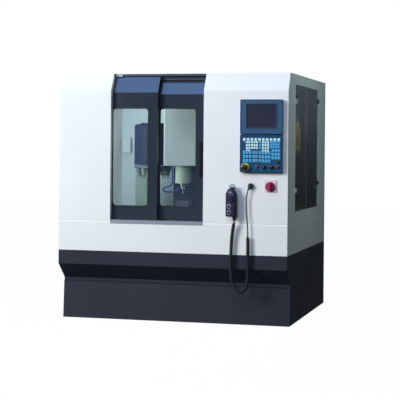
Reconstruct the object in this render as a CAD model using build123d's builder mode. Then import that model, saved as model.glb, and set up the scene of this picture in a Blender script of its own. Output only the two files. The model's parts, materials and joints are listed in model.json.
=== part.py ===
"""Enclosed machining centre: white and charcoal sheet-metal housing, two telescopic doors, and the machine inside.

Millimetres. +Z is up, the front faces -Y, +X is the operator's right. The origin is on the floor, in the middle of the base.
Each STEP file in parts/ is one node of the assembly.
"""
import os
from math import atan2, cos, pi, sin, tan

from build123d import *

os.makedirs("parts", exist_ok=True)

# ---- driving dimensions -------------------------------------------------
WIDTH = 1600.0  # outside of the side sheets
DEPTH = 1500.0  # front sheet to rear sheet
HEIGHT = 1690.0  # floor to roof
BASE_TOP = 257.0  # top of the dark base
LIP_TOP = 281.0  # top of the small upright lip above the base
CHAMFER_TOP = 382.0  # where the dark band's chamfer starts
BAND_TOP = 476.0  # top of the dark band
SEAM = 683.0  # seam between the white apron and the upper sheets
FOLD_DROP = 122.0  # from the roof down to the front sheets' fold
SLANT_BACK = 70.0  # how far the fold leans back at the top
BASE_BACK = 116.0  # how far the base stands behind the front sheet
BASE_FLARE = 16.0  # how far the base's foot comes forward again
SHEET = 3.0
OPENING_LEFT = -430.0
OPENING_RIGHT = 225.0
LEAF_THICK = 25.0
LEFT_LEAF_BACK = 38.0  # front of the left leaf behind the front sheet
RIGHT_LEAF_BACK = 78.0
LEAF_LIFT = 7.0  # the leaves' lower edge above the seam
LEFT_LEAF_DROP = 25.0  # the leaves' tops below the roof
RIGHT_LEAF_DROP = 51.0
STILE_LEFT = 40.0
STILE_RIGHT = 66.0
WINDOW_WIDTH = 258.0
WINDOW_SILL = 93.0  # the leaf's lower edge to its window
WINDOW_DROP = 115.0  # the fold down to the window
WINDOW_RADIUS = 28.0
RIGHT_WINDOW_X = -106.0  # left edge of the right leaf's window
LEAF_PITCH = 326.0
SIDE_DOOR_FRONT = 263.0  # behind the front sheet
SIDE_DOOR_SPLIT = 708.0
SIDE_DOOR_REAR = 1156.0
SIDE_DOOR_LIFT = 74.0  # above the seam
SIDE_DOOR_DROP = 70.0  # below the roof
MACHINE_X = -70.0  # the spindle's axis
SPINDLE_BACK = 560.0  # the spindle's axis behind the front sheet
SPINDLE_NOSE = 930.0
HEAD_LOW = 1057.0
HEAD_HIGH = 1476.0
TABLE_TOP = 740.0
TABLE_LENGTH = 620.0
TABLE_WIDTH = 240.0
DRUM_RADIUS = 140.0
UNIT_INSET = 35.0  # the two operator units, in from the right edge
UNIT_WIDTH = 283.0
UNIT_OUT = 30.0
UNIT_DROP = 60.0  # the fold down to the upper unit
UNIT_GAP = 8.0
DISPLAY_HEIGHT = 227.0
KEYS_HEIGHT = 246.0
SWITCH_IN = 202.0  # the switch and the gland, in from the units' left edge
SWITCH_DROP = 95.0  # and below the keyboard
GLAND_IN = 69.0
GLAND_DROP = 92.0
PENDANT_OUT = 52.0  # the pendant's middle, out from the units' left edge
PENDANT_LOW = 731.0
PENDANT_HIGH = 918.0
PENDANT_WIDTH = 74.0
PENDANT_THICK = 44.0
PENDANT_TURN = 15.0  # degrees, its face turned to the operator's left
RELIEF = 40.0  # length of the sleeve that the cord leaves it by
LEAD_DIAMETER = 9.5
COIL_DIAMETER = 28.0
RUN = 0.5  # running gap
SEAT = 0.3  # bolted units stand this far off their plate

# ---- derived ------------------------------------------------------------
F, R = -DEPTH / 2, DEPTH / 2
XL, XR = -WIDTH / 2, WIDTH / 2
FOLD = HEIGHT - FOLD_DROP
LEAF_BOTTOM = SEAM + LEAF_LIFT
WINDOW_LOW, WINDOW_HIGH = LEAF_BOTTOM + WINDOW_SILL, FOLD - WINDOW_DROP
SIDE_DOOR_LOW, SIDE_DOOR_HIGH = SEAM + SIDE_DOOR_LIFT, HEIGHT - SIDE_DOOR_DROP
UNIT_LEFT, UNIT_RIGHT = XR - UNIT_INSET - UNIT_WIDTH, XR - UNIT_INSET
DISPLAY_HIGH = FOLD - UNIT_DROP
DISPLAY_LOW = DISPLAY_HIGH - DISPLAY_HEIGHT
KEYS_HIGH = DISPLAY_LOW - UNIT_GAP
KEYS_LOW = KEYS_HIGH - KEYS_HEIGHT
SWITCH_X, SWITCH_Z = UNIT_LEFT + SWITCH_IN, KEYS_LOW - SWITCH_DROP
GLAND_X, GLAND_Z = UNIT_LEFT + GLAND_IN, KEYS_LOW - GLAND_DROP
PENDANT_X = UNIT_LEFT - PENDANT_OUT
COLUMN_TOP = HEIGHT - 145
LEAN = atan2(SLANT_BACK, HEIGHT - FOLD)
MX, MY = MACHINE_X, F + SPINDLE_BACK
ALONG = {"X": (0, 90, 0), "Y": (90, 0, 0), "Z": (0, 0, 0)}


def block(x0, x1, y0, y1, z0, z1, mode=Mode.ADD):
    with Locations(((x0 + x1) / 2, (y0 + y1) / 2, (z0 + z1) / 2)):
        Box(x1 - x0, y1 - y0, z1 - z0, mode=mode)


def rod(axis, at, start, end, r, mode=Mode.ADD):
    """A cylinder along one axis; at is its other two coordinates, in X, Y, Z order."""
    mid = (start + end) / 2
    p = {"X": (mid, at[0], at[1]), "Y": (at[0], mid, at[1]), "Z": (at[0], at[1], mid)}[axis]
    with Locations(p):
        Cylinder(r, abs(end - start), rotation=ALONG[axis], mode=mode)


def profile(points, x0, x1, mode=Mode.ADD):
    """A side profile (y, z) pulled from x0 to x1."""
    with BuildSketch(Plane.YZ.offset(x0)) as s:
        with BuildLine():
            Polyline(*points, close=True)
        make_face()
    extrude(s.sketch, amount=x1 - x0, mode=mode)


def pane(x0, x1, z0, z1, y0, y1, r, mode=Mode.ADD):
    """A plate with rounded corners that faces the front."""
    with BuildSketch(Plane.XZ.offset(-y1)) as s:
        with Locations(((x0 + x1) / 2, (z0 + z1) / 2)):
            RectangleRounded(x1 - x0, z1 - z0, r)
    extrude(s.sketch, amount=y1 - y0, mode=mode)


def turned(at, points, out="Z"):
    """A turned piece; points are (radius, distance along its axis) from its foot outward."""
    side, way = {"Z": ((0, -1, 0), (0, 0, 1)), "-Y": ((0, 0, -1), (0, -1, 0))}[out]
    with BuildSketch(Plane(origin=at, x_dir=(1, 0, 0), z_dir=side)) as s:
        with BuildLine():
            Polyline((0, points[0][1]), *points, (0, points[-1][1]), close=True)
        make_face()
    revolve(s.sketch, axis=Axis(at, way))


def bent(back, thick, z0, z1):
    """The front's folded profile, a sheet that starts back behind the outer skin."""

    def fold(o):
        return FOLD - o * tan(LEAN / 2)

    def slant(o, z):
        return F + o + (z - fold(o)) * tan(LEAN)

    a, b = back, back + thick
    return [(F + a, z0), (F + a, fold(a)), (slant(a, z1), z1), (slant(b, z1), z1), (F + b, fold(b)), (F + b, z0)]


def save(name, part):
    part.label = name
    export_step(part, f"parts/{name}.step")


# ---- base and lower housing --------------------------------------------
INNER = WIDTH / 2 - SHEET
with BuildPart() as base_skirt:
    profile([(F + BASE_BACK - BASE_FLARE, 0), (F + BASE_BACK, BASE_TOP), (R, BASE_TOP), (R, 0)], XL, XR)
    profile(
        [(F + BASE_BACK - BASE_FLARE + SHEET, SHEET), (F + BASE_BACK + SHEET, BASE_TOP), (R - SHEET, BASE_TOP), (R - SHEET, SHEET)],
        -INNER,
        INNER,
        Mode.SUBTRACT,
    )
save("base_skirt", base_skirt.part)

with BuildPart() as lower_band:
    profile([(F, BAND_TOP), (F, CHAMFER_TOP), (F + BASE_BACK, LIP_TOP), (F + BASE_BACK + 5, LIP_TOP), (F + BASE_BACK + 5, BASE_TOP), (R, BASE_TOP), (R, BAND_TOP)], XL, XR)
    profile(
        [(F + SHEET, BAND_TOP), (F + SHEET, CHAMFER_TOP + 1), (F + BASE_BACK + 8, LIP_TOP - 1), (F + BASE_BACK + 8, BASE_TOP), (R - SHEET, BASE_TOP), (R - SHEET, BAND_TOP)],
        -INNER,
        INNER,
        Mode.SUBTRACT,
    )
save("lower_band", lower_band.part)

SUPPLY_X, SUPPLY_Z, SUPPLY_R = 560.0, 580.0, 16.0
with BuildPart() as white_apron:
    block(XL, XR, F, R, BAND_TOP, SEAM)
    block(-INNER, INNER, F + SHEET, R - SHEET, BAND_TOP, SEAM, Mode.SUBTRACT)
    rod("Y", (SUPPLY_X, SUPPLY_Z), R - 10, R + 10, SUPPLY_R, Mode.SUBTRACT)
save("white_apron", white_apron.part)

PAN_Z = 296.0
BED_WIDE, BED_HALF = 470.0, 240.0  # half widths of the bed's rear and front
BED_REAR = F + 1350
with BuildPart() as splash_pan:
    block(-INNER, INNER, F + BASE_BACK + 10, R - SHEET, PAN_Z, PAN_Z + SHEET)
    block(MX - BED_HALF - 4, MX + BED_HALF + 4, F + 226, F + 1314, PAN_Z - 5, PAN_Z + 10, Mode.SUBTRACT)
    profile([(F + BASE_BACK + 10, PAN_Z + SHEET), (F + BASE_BACK + 10 + SHEET, PAN_Z + SHEET), (F + 8 + SHEET, CHAMFER_TOP + 20), (F + 8 + SHEET, SEAM - 30), (F + 8, SEAM - 30), (F + 8, CHAMFER_TOP + 18)], -INNER, INNER)
save("splash_pan", splash_pan.part)

# ---- upper housing -------------------------------------------------------
TOP = HEIGHT - SHEET
with BuildPart() as left_front_panel:
    profile(bent(0, SHEET, SEAM, HEIGHT), XL, OPENING_LEFT)
    profile(bent(0, 34, SEAM + 10, HEIGHT - 19), OPENING_LEFT - SHEET, OPENING_LEFT)
save("left_front_panel", left_front_panel.part)

with BuildPart() as right_front_panel:
    profile(bent(0, SHEET, SEAM, HEIGHT), OPENING_RIGHT, XR)
    profile(bent(0, 108, SEAM + 10, HEIGHT - 16), OPENING_RIGHT, OPENING_RIGHT + SHEET)
save("right_front_panel", right_front_panel.part)

edge = bent(SHEET, 1, SEAM, HEIGHT)
side_shape = [edge[0], edge[1], edge[2], (R, HEIGHT), (R, SEAM)]
with BuildPart() as left_side_panel:
    profile(side_shape, XL, XL + SHEET)
save("left_side_panel", left_side_panel.part)

HINGE_R = 5.0
SIDE_HINGE_X = XR + HINGE_R + 0.5
FRONT_HINGE_Y, REAR_HINGE_Y = F + SIDE_DOOR_FRONT - 2, F + SIDE_DOOR_REAR + 2
HINGE_Z = [SIDE_DOOR_LOW + 130, SIDE_DOOR_HIGH - 130]
with BuildPart() as right_side_panel:
    profile(side_shape, XR - SHEET, XR)
    block(XR - 10, XR + 10, F + SIDE_DOOR_FRONT, F + SIDE_DOOR_REAR, SIDE_DOOR_LOW, SIDE_DOOR_HIGH, Mode.SUBTRACT)
    for y, way in ((FRONT_HINGE_Y, -1), (REAR_HINGE_Y, 1)):
        for z in HINGE_Z:
            block(XR, SIDE_HINGE_X, min(y, y + way * 26), max(y, y + way * 26), z, z + 30)
            rod("Z", (SIDE_HINGE_X, y), z, z + 30, HINGE_R)
save("right_side_panel", right_side_panel.part)

CABINET_HALF, CABINET_LOW, CABINET_HIGH = 350.0, SEAM + 87, HEIGHT - 100
CAB_HINGE_X, CAB_HINGE_Y = -CABINET_HALF - 4, R + HINGE_R + 0.5
with BuildPart() as rear_panel:
    block(-INNER, INNER, R - SHEET, R, SEAM, HEIGHT)
    block(-CABINET_HALF, CABINET_HALF, R - 10, R + 10, CABINET_LOW, CABINET_HIGH, Mode.SUBTRACT)
    for z in (CABINET_LOW + 120, CABINET_HIGH - 120):
        block(CAB_HINGE_X - 26, CAB_HINGE_X, R, CAB_HINGE_Y, z, z + 40)
        rod("Z", (CAB_HINGE_X, CAB_HINGE_Y), z, z + 40, HINGE_R)
save("rear_panel", rear_panel.part)

LINTEL_FRONT = F + SLANT_BACK + 30  # the roof is cut back to it over the doors
with BuildPart() as roof_panel:
    block(-INNER, INNER, F + SLANT_BACK + SHEET + 0.5, R - SHEET, TOP, HEIGHT)
    block(OPENING_LEFT, OPENING_RIGHT, F + SLANT_BACK, LINTEL_FRONT - 2, TOP - 1, HEIGHT + 1, Mode.SUBTRACT)
save("roof_panel", roof_panel.part)

TRACK_LEFT = XL + 8
with BuildPart() as door_lintel:
    block(TRACK_LEFT, OPENING_RIGHT - 1, LINTEL_FRONT, F + 180, HEIGHT - 18, TOP)
    block(TRACK_LEFT, OPENING_RIGHT - 1, F + 129.5, F + 133, HEIGHT - 44, HEIGHT - 18)
    block(TRACK_LEFT, OPENING_RIGHT - 1, F + 174, F + 180, HEIGHT - 130, HEIGHT - 18)
    block(TRACK_LEFT, OPENING_RIGHT - 1, F + 133, F + 174, HEIGHT - 44, HEIGHT - 30)
    block(TRACK_LEFT, OPENING_RIGHT - 1, F + 106, F + 122, HEIGHT - 20, HEIGHT - 8, Mode.SUBTRACT)
    block(TRACK_LEFT, OPENING_RIGHT - 1, F + 137, F + 153, HEIGHT - 46, HEIGHT - 34, Mode.SUBTRACT)
save("door_lintel", door_lintel.part)

with BuildPart() as door_sill:
    block(OPENING_LEFT + 1, OPENING_RIGHT - 1, F - 3, F, SEAM - 17, SEAM + 5)
    block(OPENING_LEFT + 1, OPENING_RIGHT - 1, F - 3, F + 34, SEAM + 3, SEAM + 7)
    block(TRACK_LEFT, OPENING_RIGHT - 1, F + 31, F + 34, SEAM - 19, SEAM + 3)
    block(TRACK_LEFT, OPENING_RIGHT - 1, F + 31, F + 113, SEAM - 19, SEAM - 15)
    block(TRACK_LEFT, OPENING_RIGHT - 1, F + 110, F + 113, SEAM - 15, SEAM + 3)
    for back in (LEFT_LEAF_BACK, RIGHT_LEAF_BACK):
        y = F + back + LEAF_THICK / 2
        block(TRACK_LEFT, OPENING_RIGHT - 1, y - 1.5, y + 1.5, SEAM - 15, SEAM)
save("door_sill", door_sill.part)

GUARD_IN = 200.0  # the work area's right wall, in from the outside
GUARD_X = XR - GUARD_IN
REAR_GUARD_Y = F + 1362
with BuildPart() as inner_guards:
    block(GUARD_X, GUARD_X + 2, F + 185, REAR_GUARD_Y, PAN_Z + SHEET, TOP)
    block(-INNER, INNER, REAR_GUARD_Y, REAR_GUARD_Y + 2, PAN_Z + SHEET, TOP)
    block(XL + 25, XL + 92, REAR_GUARD_Y - 60, REAR_GUARD_Y, 1142, 1255)
save("inner_guards", inner_guards.part)

# ---- sliding doors ---------------------------------------------------------
LEFT_WINDOW_X = RIGHT_WINDOW_X - LEAF_PITCH
GLASS = 6.0


def leaf(window_x, back, top, tongue):
    x0, x1 = window_x - STILE_LEFT, window_x + WINDOW_WIDTH + STILE_RIGHT
    y = F + back
    profile(bent(back, LEAF_THICK, LEAF_BOTTOM, top), x0, x1)
    block(x0, x1, F + tongue, F + tongue + 8, top - 4, top + 15)
    pane(window_x, window_x + WINDOW_WIDTH, WINDOW_LOW, WINDOW_HIGH, y - 5, y + LEAF_THICK + 5, WINDOW_RADIUS, Mode.SUBTRACT)
    pane(window_x - 8, window_x + WINDOW_WIDTH + 8, WINDOW_LOW - 8, WINDOW_HIGH + 8, y + 9, y + LEAF_THICK + 5, WINDOW_RADIUS + 8, Mode.SUBTRACT)
    for x in (x0 + 30, x1 - 70):
        for side in (-9.5 - RUN, 1.5 + RUN):
            yy = y + LEAF_THICK / 2 + side
            block(x, x + 40, yy, yy + 8, LEAF_BOTTOM - 19, LEAF_BOTTOM)


with BuildPart() as left_door:
    leaf(LEFT_WINDOW_X, LEFT_LEAF_BACK, HEIGHT - LEFT_LEAF_DROP, 110)
save("left_door", left_door.part)
with BuildPart() as right_door:
    leaf(RIGHT_WINDOW_X, RIGHT_LEAF_BACK, HEIGHT - RIGHT_LEAF_DROP, 141)
save("right_door", right_door.part)
for name, x, back in (("left_door_window", LEFT_WINDOW_X, LEFT_LEAF_BACK), ("right_door_window", RIGHT_WINDOW_X, RIGHT_LEAF_BACK)):
    with BuildPart() as window:
        pane(x - 7.5, x + WINDOW_WIDTH + 7.5, WINDOW_LOW - 7.5, WINDOW_HIGH + 7.5, F + back + 9, F + back + 9 + GLASS, WINDOW_RADIUS + 7.5)
    save(name, window.part)

HANDLE_X, HANDLE_LOW, HANDLE_HIGH = 196.0, 983.0, 1231.0
LEAF_FACE = F + RIGHT_LEAF_BACK
with BuildPart() as door_handle:
    pane(HANDLE_X - 14, HANDLE_X + 14, HANDLE_LOW, HANDLE_HIGH, F + 34, F + 50, 8)
    chamfer(door_handle.part.faces().sort_by(Axis.Y)[0].edges(), 4)
    for z in (HANDLE_LOW + 30, HANDLE_HIGH - 30):
        rod("Y", (HANDLE_X, z), F + 50, LEAF_FACE, 9)
save("door_handle", door_handle.part)

# ---- side service doors --------------------------------------------------
SIDE_THICK = 8.0
GAP = 3.0
SIDE_FACE = XR - 2  # outside of the leaves, just inside the sheet
SPLIT_Y = F + SIDE_DOOR_SPLIT


def side_leaf(y0, y1, hinge_y, way):
    block(SIDE_FACE - SIDE_THICK, SIDE_FACE, y0, y1, SIDE_DOOR_LOW + GAP, SIDE_DOOR_HIGH - GAP)
    for z in HINGE_Z:
        a, b = z + 30 + RUN, z + 60 + RUN
        block(XR + 1, SIDE_HINGE_X, min(hinge_y, hinge_y + way * 30), max(hinge_y, hinge_y + way * 30), a, b)
        block(SIDE_FACE, XR + 2, min(hinge_y + way * 5, hinge_y + way * 30), max(hinge_y + way * 5, hinge_y + way * 30), a, b)
        rod("Z", (SIDE_HINGE_X, hinge_y), a, b, HINGE_R)


with BuildPart() as side_door_front:
    side_leaf(F + SIDE_DOOR_FRONT + GAP, SPLIT_Y, FRONT_HINGE_Y, 1)
    block(SIDE_FACE, SIDE_FACE + 2, SPLIT_Y - 66, SPLIT_Y, SIDE_DOOR_LOW + GAP, SIDE_DOOR_HIGH - GAP)
save("side_door_front", side_door_front.part)
PULL_LOW, PULL_HIGH = 1116.0, 1250.0
with BuildPart() as side_door_rear:
    side_leaf(SPLIT_Y + GAP, F + SIDE_DOOR_REAR - GAP, REAR_HINGE_Y, -1)
    block(SIDE_FACE, SIDE_FACE + 16, SPLIT_Y + 14, SPLIT_Y + 34, PULL_LOW, PULL_HIGH)
    block(SIDE_FACE, SIDE_FACE + 10, SPLIT_Y + 10, SPLIT_Y + 26, PULL_LOW + 18, PULL_HIGH - 18, Mode.SUBTRACT)
    block(SIDE_FACE - SIDE_THICK, SIDE_FACE, SPLIT_Y + GAP, SPLIT_Y + 40, PULL_LOW, PULL_HIGH)
save("side_door_rear", side_door_rear.part)

# ---- rear electrical cabinet --------------------------------------------
CAB_FRONT = REAR_GUARD_Y + 4
with BuildPart() as electrical_cabinet:
    # a back plate with four walls bolted to it
    block(-CABINET_HALF - 8, CABINET_HALF + 8, CAB_FRONT, CAB_FRONT + 2, CABINET_LOW - 8, CABINET_HIGH + 8)
    for x in (-CABINET_HALF - 8, CABINET_HALF + 6):
        block(x, x + 2, CAB_FRONT + 2 + SEAT, R - SHEET, CABINET_LOW - 8, CABINET_HIGH + 8)
    for z in (CABINET_LOW - 8, CABINET_HIGH + 6):
        block(-CABINET_HALF - 6 + SEAT, CABINET_HALF + 6 - SEAT, CAB_FRONT + 2 + SEAT, R - SHEET, z, z + 2)
    # the drives, supply, terminals and transformer, each a solid of its own on the back plate: x, width, z, height, depth
    PLATE = CAB_FRONT + 2 + SEAT
    for x, wide, z, high, deep in ((-290, 110, 500, 230, 90), (-150, 110, 500, 230, 90), (-10, 110, 500, 230, 90), (150, 150, 530, 180, 78), (-300, 600, 310, 90, 58), (-300, 360, 130, 80, 48), (120, 180, 40, 170, 93)):
        block(x, x + wide, PLATE, PLATE + deep, CABINET_LOW + z, CABINET_LOW + z + high)
save("electrical_cabinet", electrical_cabinet.part)

DOOR_Y = R - 12
with BuildPart() as cabinet_door:
    block(-CABINET_HALF + GAP, CABINET_HALF - GAP, DOOR_Y, R, CABINET_LOW + GAP, CABINET_HIGH - GAP)
    for z in range(5):
        zz = CABINET_LOW + 80 + z * 24
        block(-130, 130, DOOR_Y - 1, R + 1, zz, zz + 8, Mode.SUBTRACT)
    block(CABINET_HALF - 60, CABINET_HALF - 30, R, R + 20, 1130, 1250)
    for z in (CABINET_LOW + 120, CABINET_HIGH - 120):
        block(CAB_HINGE_X, CAB_HINGE_X + 30, R + 1, CAB_HINGE_Y, z + 40 + RUN, z + 80 + RUN)
        block(-CABINET_HALF + GAP, CAB_HINGE_X + 30, R, R + 2, z + 40 + RUN, z + 80 + RUN)
        rod("Z", (CAB_HINGE_X, CAB_HINGE_Y), z + 40 + RUN, z + 80 + RUN, HINGE_R)
save("cabinet_door", cabinet_door.part)

# ---- machine: bed, column -------------------------------------------------
BED_TOP = 560.0
RAIL_Y = [-150.0, 150.0]  # Y rails beside the machine's middle
BED_FRONT = F + 230
COLUMN_FRONT = F + 830
Y_SCREW_Z = BED_TOP + 15
Y_MOTOR_TOP = BED_TOP + 60
WALL, RIB, POCKET = 40.0, 30.0, 306.0  # the castings' walls, ribs and the bed's pockets
with BuildPart() as machine_bed:
    block(MX - BED_HALF, MX + BED_HALF, BED_FRONT, F + 1310, 60, BED_TOP)
    with BuildSketch(Plane.XZ.offset(-BED_REAR)) as s:
        with BuildLine():
            Polyline((MX - BED_WIDE, 640), (MX - BED_WIDE, 560), (MX - BED_HALF, 340), (MX + BED_HALF, 340), (MX + BED_WIDE, 560), (MX + BED_WIDE, 640), close=True)
        make_face()
    extrude(s.sketch, amount=BED_REAR - F - 860)
    # the casting is hollow from below, with a rib between each two pockets
    for k in range(3):
        y = BED_FRONT + WALL + k * (POCKET + RIB)
        block(MX - BED_HALF + WALL, MX + BED_HALF - WALL, y, y + POCKET, 59, BED_TOP - 60, Mode.SUBTRACT)
    for dx in RAIL_Y:
        block(MX + dx - 12, MX + dx + 12, BED_FRONT + 20, F + 850, BED_TOP, BED_TOP + 26)
    for y in (BED_FRONT + 15, F + 836):
        block(MX - 25, MX + 25, y, y + 20, BED_TOP, BED_TOP + 30)
        rod("Y", (MX, Y_SCREW_Z), y - 1, y + 21, 8 + RUN, Mode.SUBTRACT)
    block(MX - 45, MX + 45, F + 118, BED_FRONT, Y_MOTOR_TOP - 90, Y_MOTOR_TOP)
    for x in (MX - BED_HALF + WALL / 2, MX + BED_HALF - WALL / 2):
        for y in (F + 280, F + 760, F + 1260):
            rod("Z", (x, y), SHEET, 22, 45)
            rod("Z", (x, y), 20, 62, 14)
save("machine_bed", machine_bed.part)

Z_RAIL = 26.0
Z_SCREW_Y = COLUMN_FRONT - 13
PLATE_Y = COLUMN_FRONT - 32  # rear of the head's plate
DRUM_X, DRUM_Y = -341.0, F + 720
with BuildPart() as column:
    block(MX - 150, MX + 150, COLUMN_FRONT, COLUMN_FRONT + 400, 640, COLUMN_TOP)
    for k in range(3):
        z = 640 + WALL + k * 285
        block(MX - 150 + WALL, MX + 150 - WALL, COLUMN_FRONT + WALL, COLUMN_FRONT + 401, z, z + 255, Mode.SUBTRACT)
    for dx in (-100, 100):
        block(MX + dx - 12, MX + dx + 12, COLUMN_FRONT - Z_RAIL, COLUMN_FRONT, 760, COLUMN_TOP - 5)
    for z in (750, COLUMN_TOP - 23):
        block(MX - 25, MX + 25, COLUMN_FRONT - Z_RAIL, COLUMN_FRONT, z, z + 20)
        rod("Z", (MX, Z_SCREW_Y), z - 1, z + 21, 10 + RUN, Mode.SUBTRACT)
    block(MX - 40, MX + 40, PLATE_Y + 2, COLUMN_FRONT + 100, COLUMN_TOP + 1.5, COLUMN_TOP + 35)
    block(MX - 40, MX + 40, COLUMN_FRONT + 5, COLUMN_FRONT + 100, COLUMN_TOP - 5, COLUMN_TOP + 3)
    block(MX - 45, MX + 45, COLUMN_FRONT + 5, COLUMN_FRONT + 95, COLUMN_TOP + 35, HEIGHT - 25)
    # the stand that carries the tool magazine, on the same casting
    block(-530, -380, F + 885, F + 1010, 640, 1024)
    block(-440, -380, F + 885, F + 1000, 1024, 1300)
    block(-440, -300, DRUM_Y + 100, F + 895, 1150, 1300)
    rod("Z", (DRUM_X, DRUM_Y), 1100, 1352, DRUM_RADIUS + 0.4, Mode.SUBTRACT)
save("column", column.part)

DRUM_HIGH = 297.0  # the drum cover's own height
with BuildPart() as magazine_drum:
    turned((DRUM_X, DRUM_Y, HEAD_LOW - 2), [(DRUM_RADIUS, 0), (DRUM_RADIUS, DRUM_HIGH - 12), (DRUM_RADIUS - 12, DRUM_HIGH), (DRUM_RADIUS - 40, DRUM_HIGH), (DRUM_RADIUS - 45, DRUM_HIGH + 10)])
    offset(amount=-SHEET, openings=magazine_drum.part.faces().sort_by(Axis.Z)[0])
    rod("Z", (DRUM_X, DRUM_Y), HEAD_LOW - 2, HEAD_LOW + DRUM_HIGH + 6, 30)
save("magazine_drum", magazine_drum.part)

DISC_Z, POCKETS, PITCH_R = 1033.0, 8, 108.0
# a tool in its holder, from the cutter's tip up to the grooved flange: radius and height over the flange's foot
TOOL = [(4, -50), (5, -48), (5, -31), (11, -28), (15, -24), (15, -2), (20, 0), (23, 2), (23, 7), (19, 9), (19, 13), (23, 15)]
with BuildPart() as magazine_disc:
    rod("Z", (DRUM_X, DRUM_Y), DISC_Z, DISC_Z + 17, DRUM_RADIUS)
    rod("Z", (DRUM_X, DRUM_Y), DISC_Z + 17, HEAD_LOW - 2.5, 30)
    rod("Z", (DRUM_X, DRUM_Y), DISC_Z - 30, DISC_Z, 34)
    for k in range(POCKETS):
        a = 2 * pi * (k + 0.5) / POCKETS
        at = (DRUM_X + PITCH_R * cos(a), DRUM_Y + PITCH_R * sin(a))
        turned((*at, DISC_Z - 26), [*TOOL, (23, 26)])
save("magazine_disc", magazine_disc.part)

# ---- saddle, table and vise ---------------------------------------------
SADDLE_LOW, SADDLE_TOP = BED_TOP + 32, BED_TOP + 80
X_SCREW_Z = SADDLE_TOP + 26
X_RAIL = 100.0
with BuildPart() as saddle:
    block(MX - 190, MX + 190, MY - 150, MY + 150, SADDLE_LOW, SADDLE_TOP)
    for dx in RAIL_Y:
        for dy in (-110, 110):
            block(MX + dx - 30, MX + dx + 30, MY + dy - 30, MY + dy + 30, BED_TOP + 4, SADDLE_LOW)
        block(MX + dx - 12 - RUN, MX + dx + 12 + RUN, MY - 160, MY + 160, BED_TOP, BED_TOP + 26 + RUN, Mode.SUBTRACT)
    block(MX - 25, MX + 25, MY - 25, MY + 25, BED_TOP + 2, SADDLE_LOW)
    rod("Y", (MX, Y_SCREW_Z), MY - 30, MY + 30, 8 + RUN, Mode.SUBTRACT)
    for dx in (-130, 130):
        for dy in (-X_RAIL, X_RAIL):
            block(MX + dx - 30, MX + dx + 30, MY + dy - 30, MY + dy + 30, SADDLE_TOP, SADDLE_TOP + 46)
    for dy in (-X_RAIL, X_RAIL):
        block(MX - 200, MX + 200, MY + dy - 12 - RUN, MY + dy + 12 + RUN, SADDLE_TOP + 24 - RUN, SADDLE_TOP + 60, Mode.SUBTRACT)
    block(MX - 25, MX + 25, MY - 25, MY + 25, SADDLE_TOP, SADDLE_TOP + 44)
    rod("X", (MY, X_SCREW_Z), MX - 30, MX + 30, 8 + RUN, Mode.SUBTRACT)
    # cover over the front ways
    block(MX - 200, MX + 200, MY - 310, MY - 150, SADDLE_TOP - 8, SADDLE_TOP - 5)
    block(MX - 200, MX + 200, MY - 310, MY - 307, Y_MOTOR_TOP + 3, SADDLE_TOP - 5)
save("saddle", saddle.part)

HALF_T = TABLE_LENGTH / 2
with BuildPart() as table:
    block(MX - HALF_T, MX + HALF_T, MY - TABLE_WIDTH / 2, MY + TABLE_WIDTH / 2, TABLE_TOP - 50, TABLE_TOP)
    for dy in (-X_RAIL, X_RAIL):
        block(MX - HALF_T, MX + HALF_T, MY + dy - 12, MY + dy + 12, SADDLE_TOP + 24, TABLE_TOP - 50)
    for dy in (-70, 0, 70):
        block(MX - HALF_T - 1, MX + HALF_T + 1, MY + dy - 7, MY + dy + 7, TABLE_TOP - 20, TABLE_TOP + 1, Mode.SUBTRACT)
        block(MX - HALF_T - 1, MX + HALF_T + 1, MY + dy - 12, MY + dy + 12, TABLE_TOP - 20, TABLE_TOP - 11, Mode.SUBTRACT)
    for x in (MX - HALF_T, MX + HALF_T - 20):
        block(x, x + 20, MY - 25, MY + 25, SADDLE_TOP + 5, TABLE_TOP - 50)
        rod("X", (MY, X_SCREW_Z), x - 1, x + 21, 8 + RUN, Mode.SUBTRACT)
    block(MX - HALF_T - 110, MX - HALF_T, MY - 38, MY + 38, SADDLE_TOP + 2, SADDLE_TOP + 78)
save("table", table.part)

with BuildPart() as vise_body:
    block(MX - 50, MX + 50, MY - 100, MY + 80, TABLE_TOP, TABLE_TOP + 25)
    block(MX - 50, MX + 50, MY + 55, MY + 80, TABLE_TOP + 25, TABLE_TOP + 66)
    block(MX - 11, MX + 11, MY - 101, MY + 55, TABLE_TOP + 5, TABLE_TOP + 26, Mode.SUBTRACT)
    block(MX - 11, MX + 11, MY - 100, MY - 88, TABLE_TOP + 5, TABLE_TOP + 25)
    rod("Y", (MX, TABLE_TOP + 15), MY - 101, MY - 87, 6 + RUN, Mode.SUBTRACT)
save("vise_body", vise_body.part)
with BuildPart() as vise_jaw:
    block(MX - 50, MX + 50, MY - 30, MY - 2, TABLE_TOP + 25.5, TABLE_TOP + 66)
    block(MX - 10, MX + 10, MY - 30, MY - 2, TABLE_TOP + 7, TABLE_TOP + 26)
    rod("Y", (MX, TABLE_TOP + 15), MY - 31, MY - 1, 6 + RUN, Mode.SUBTRACT)
save("vise_jaw", vise_jaw.part)
with BuildPart() as vise_screw:
    rod("Y", (MX, TABLE_TOP + 15), MY - 118, MY + 54, 6)
    rod("Y", (MX, TABLE_TOP + 15), MY - 118, MY - 100.5, 9)
save("vise_screw", vise_screw.part)

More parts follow.
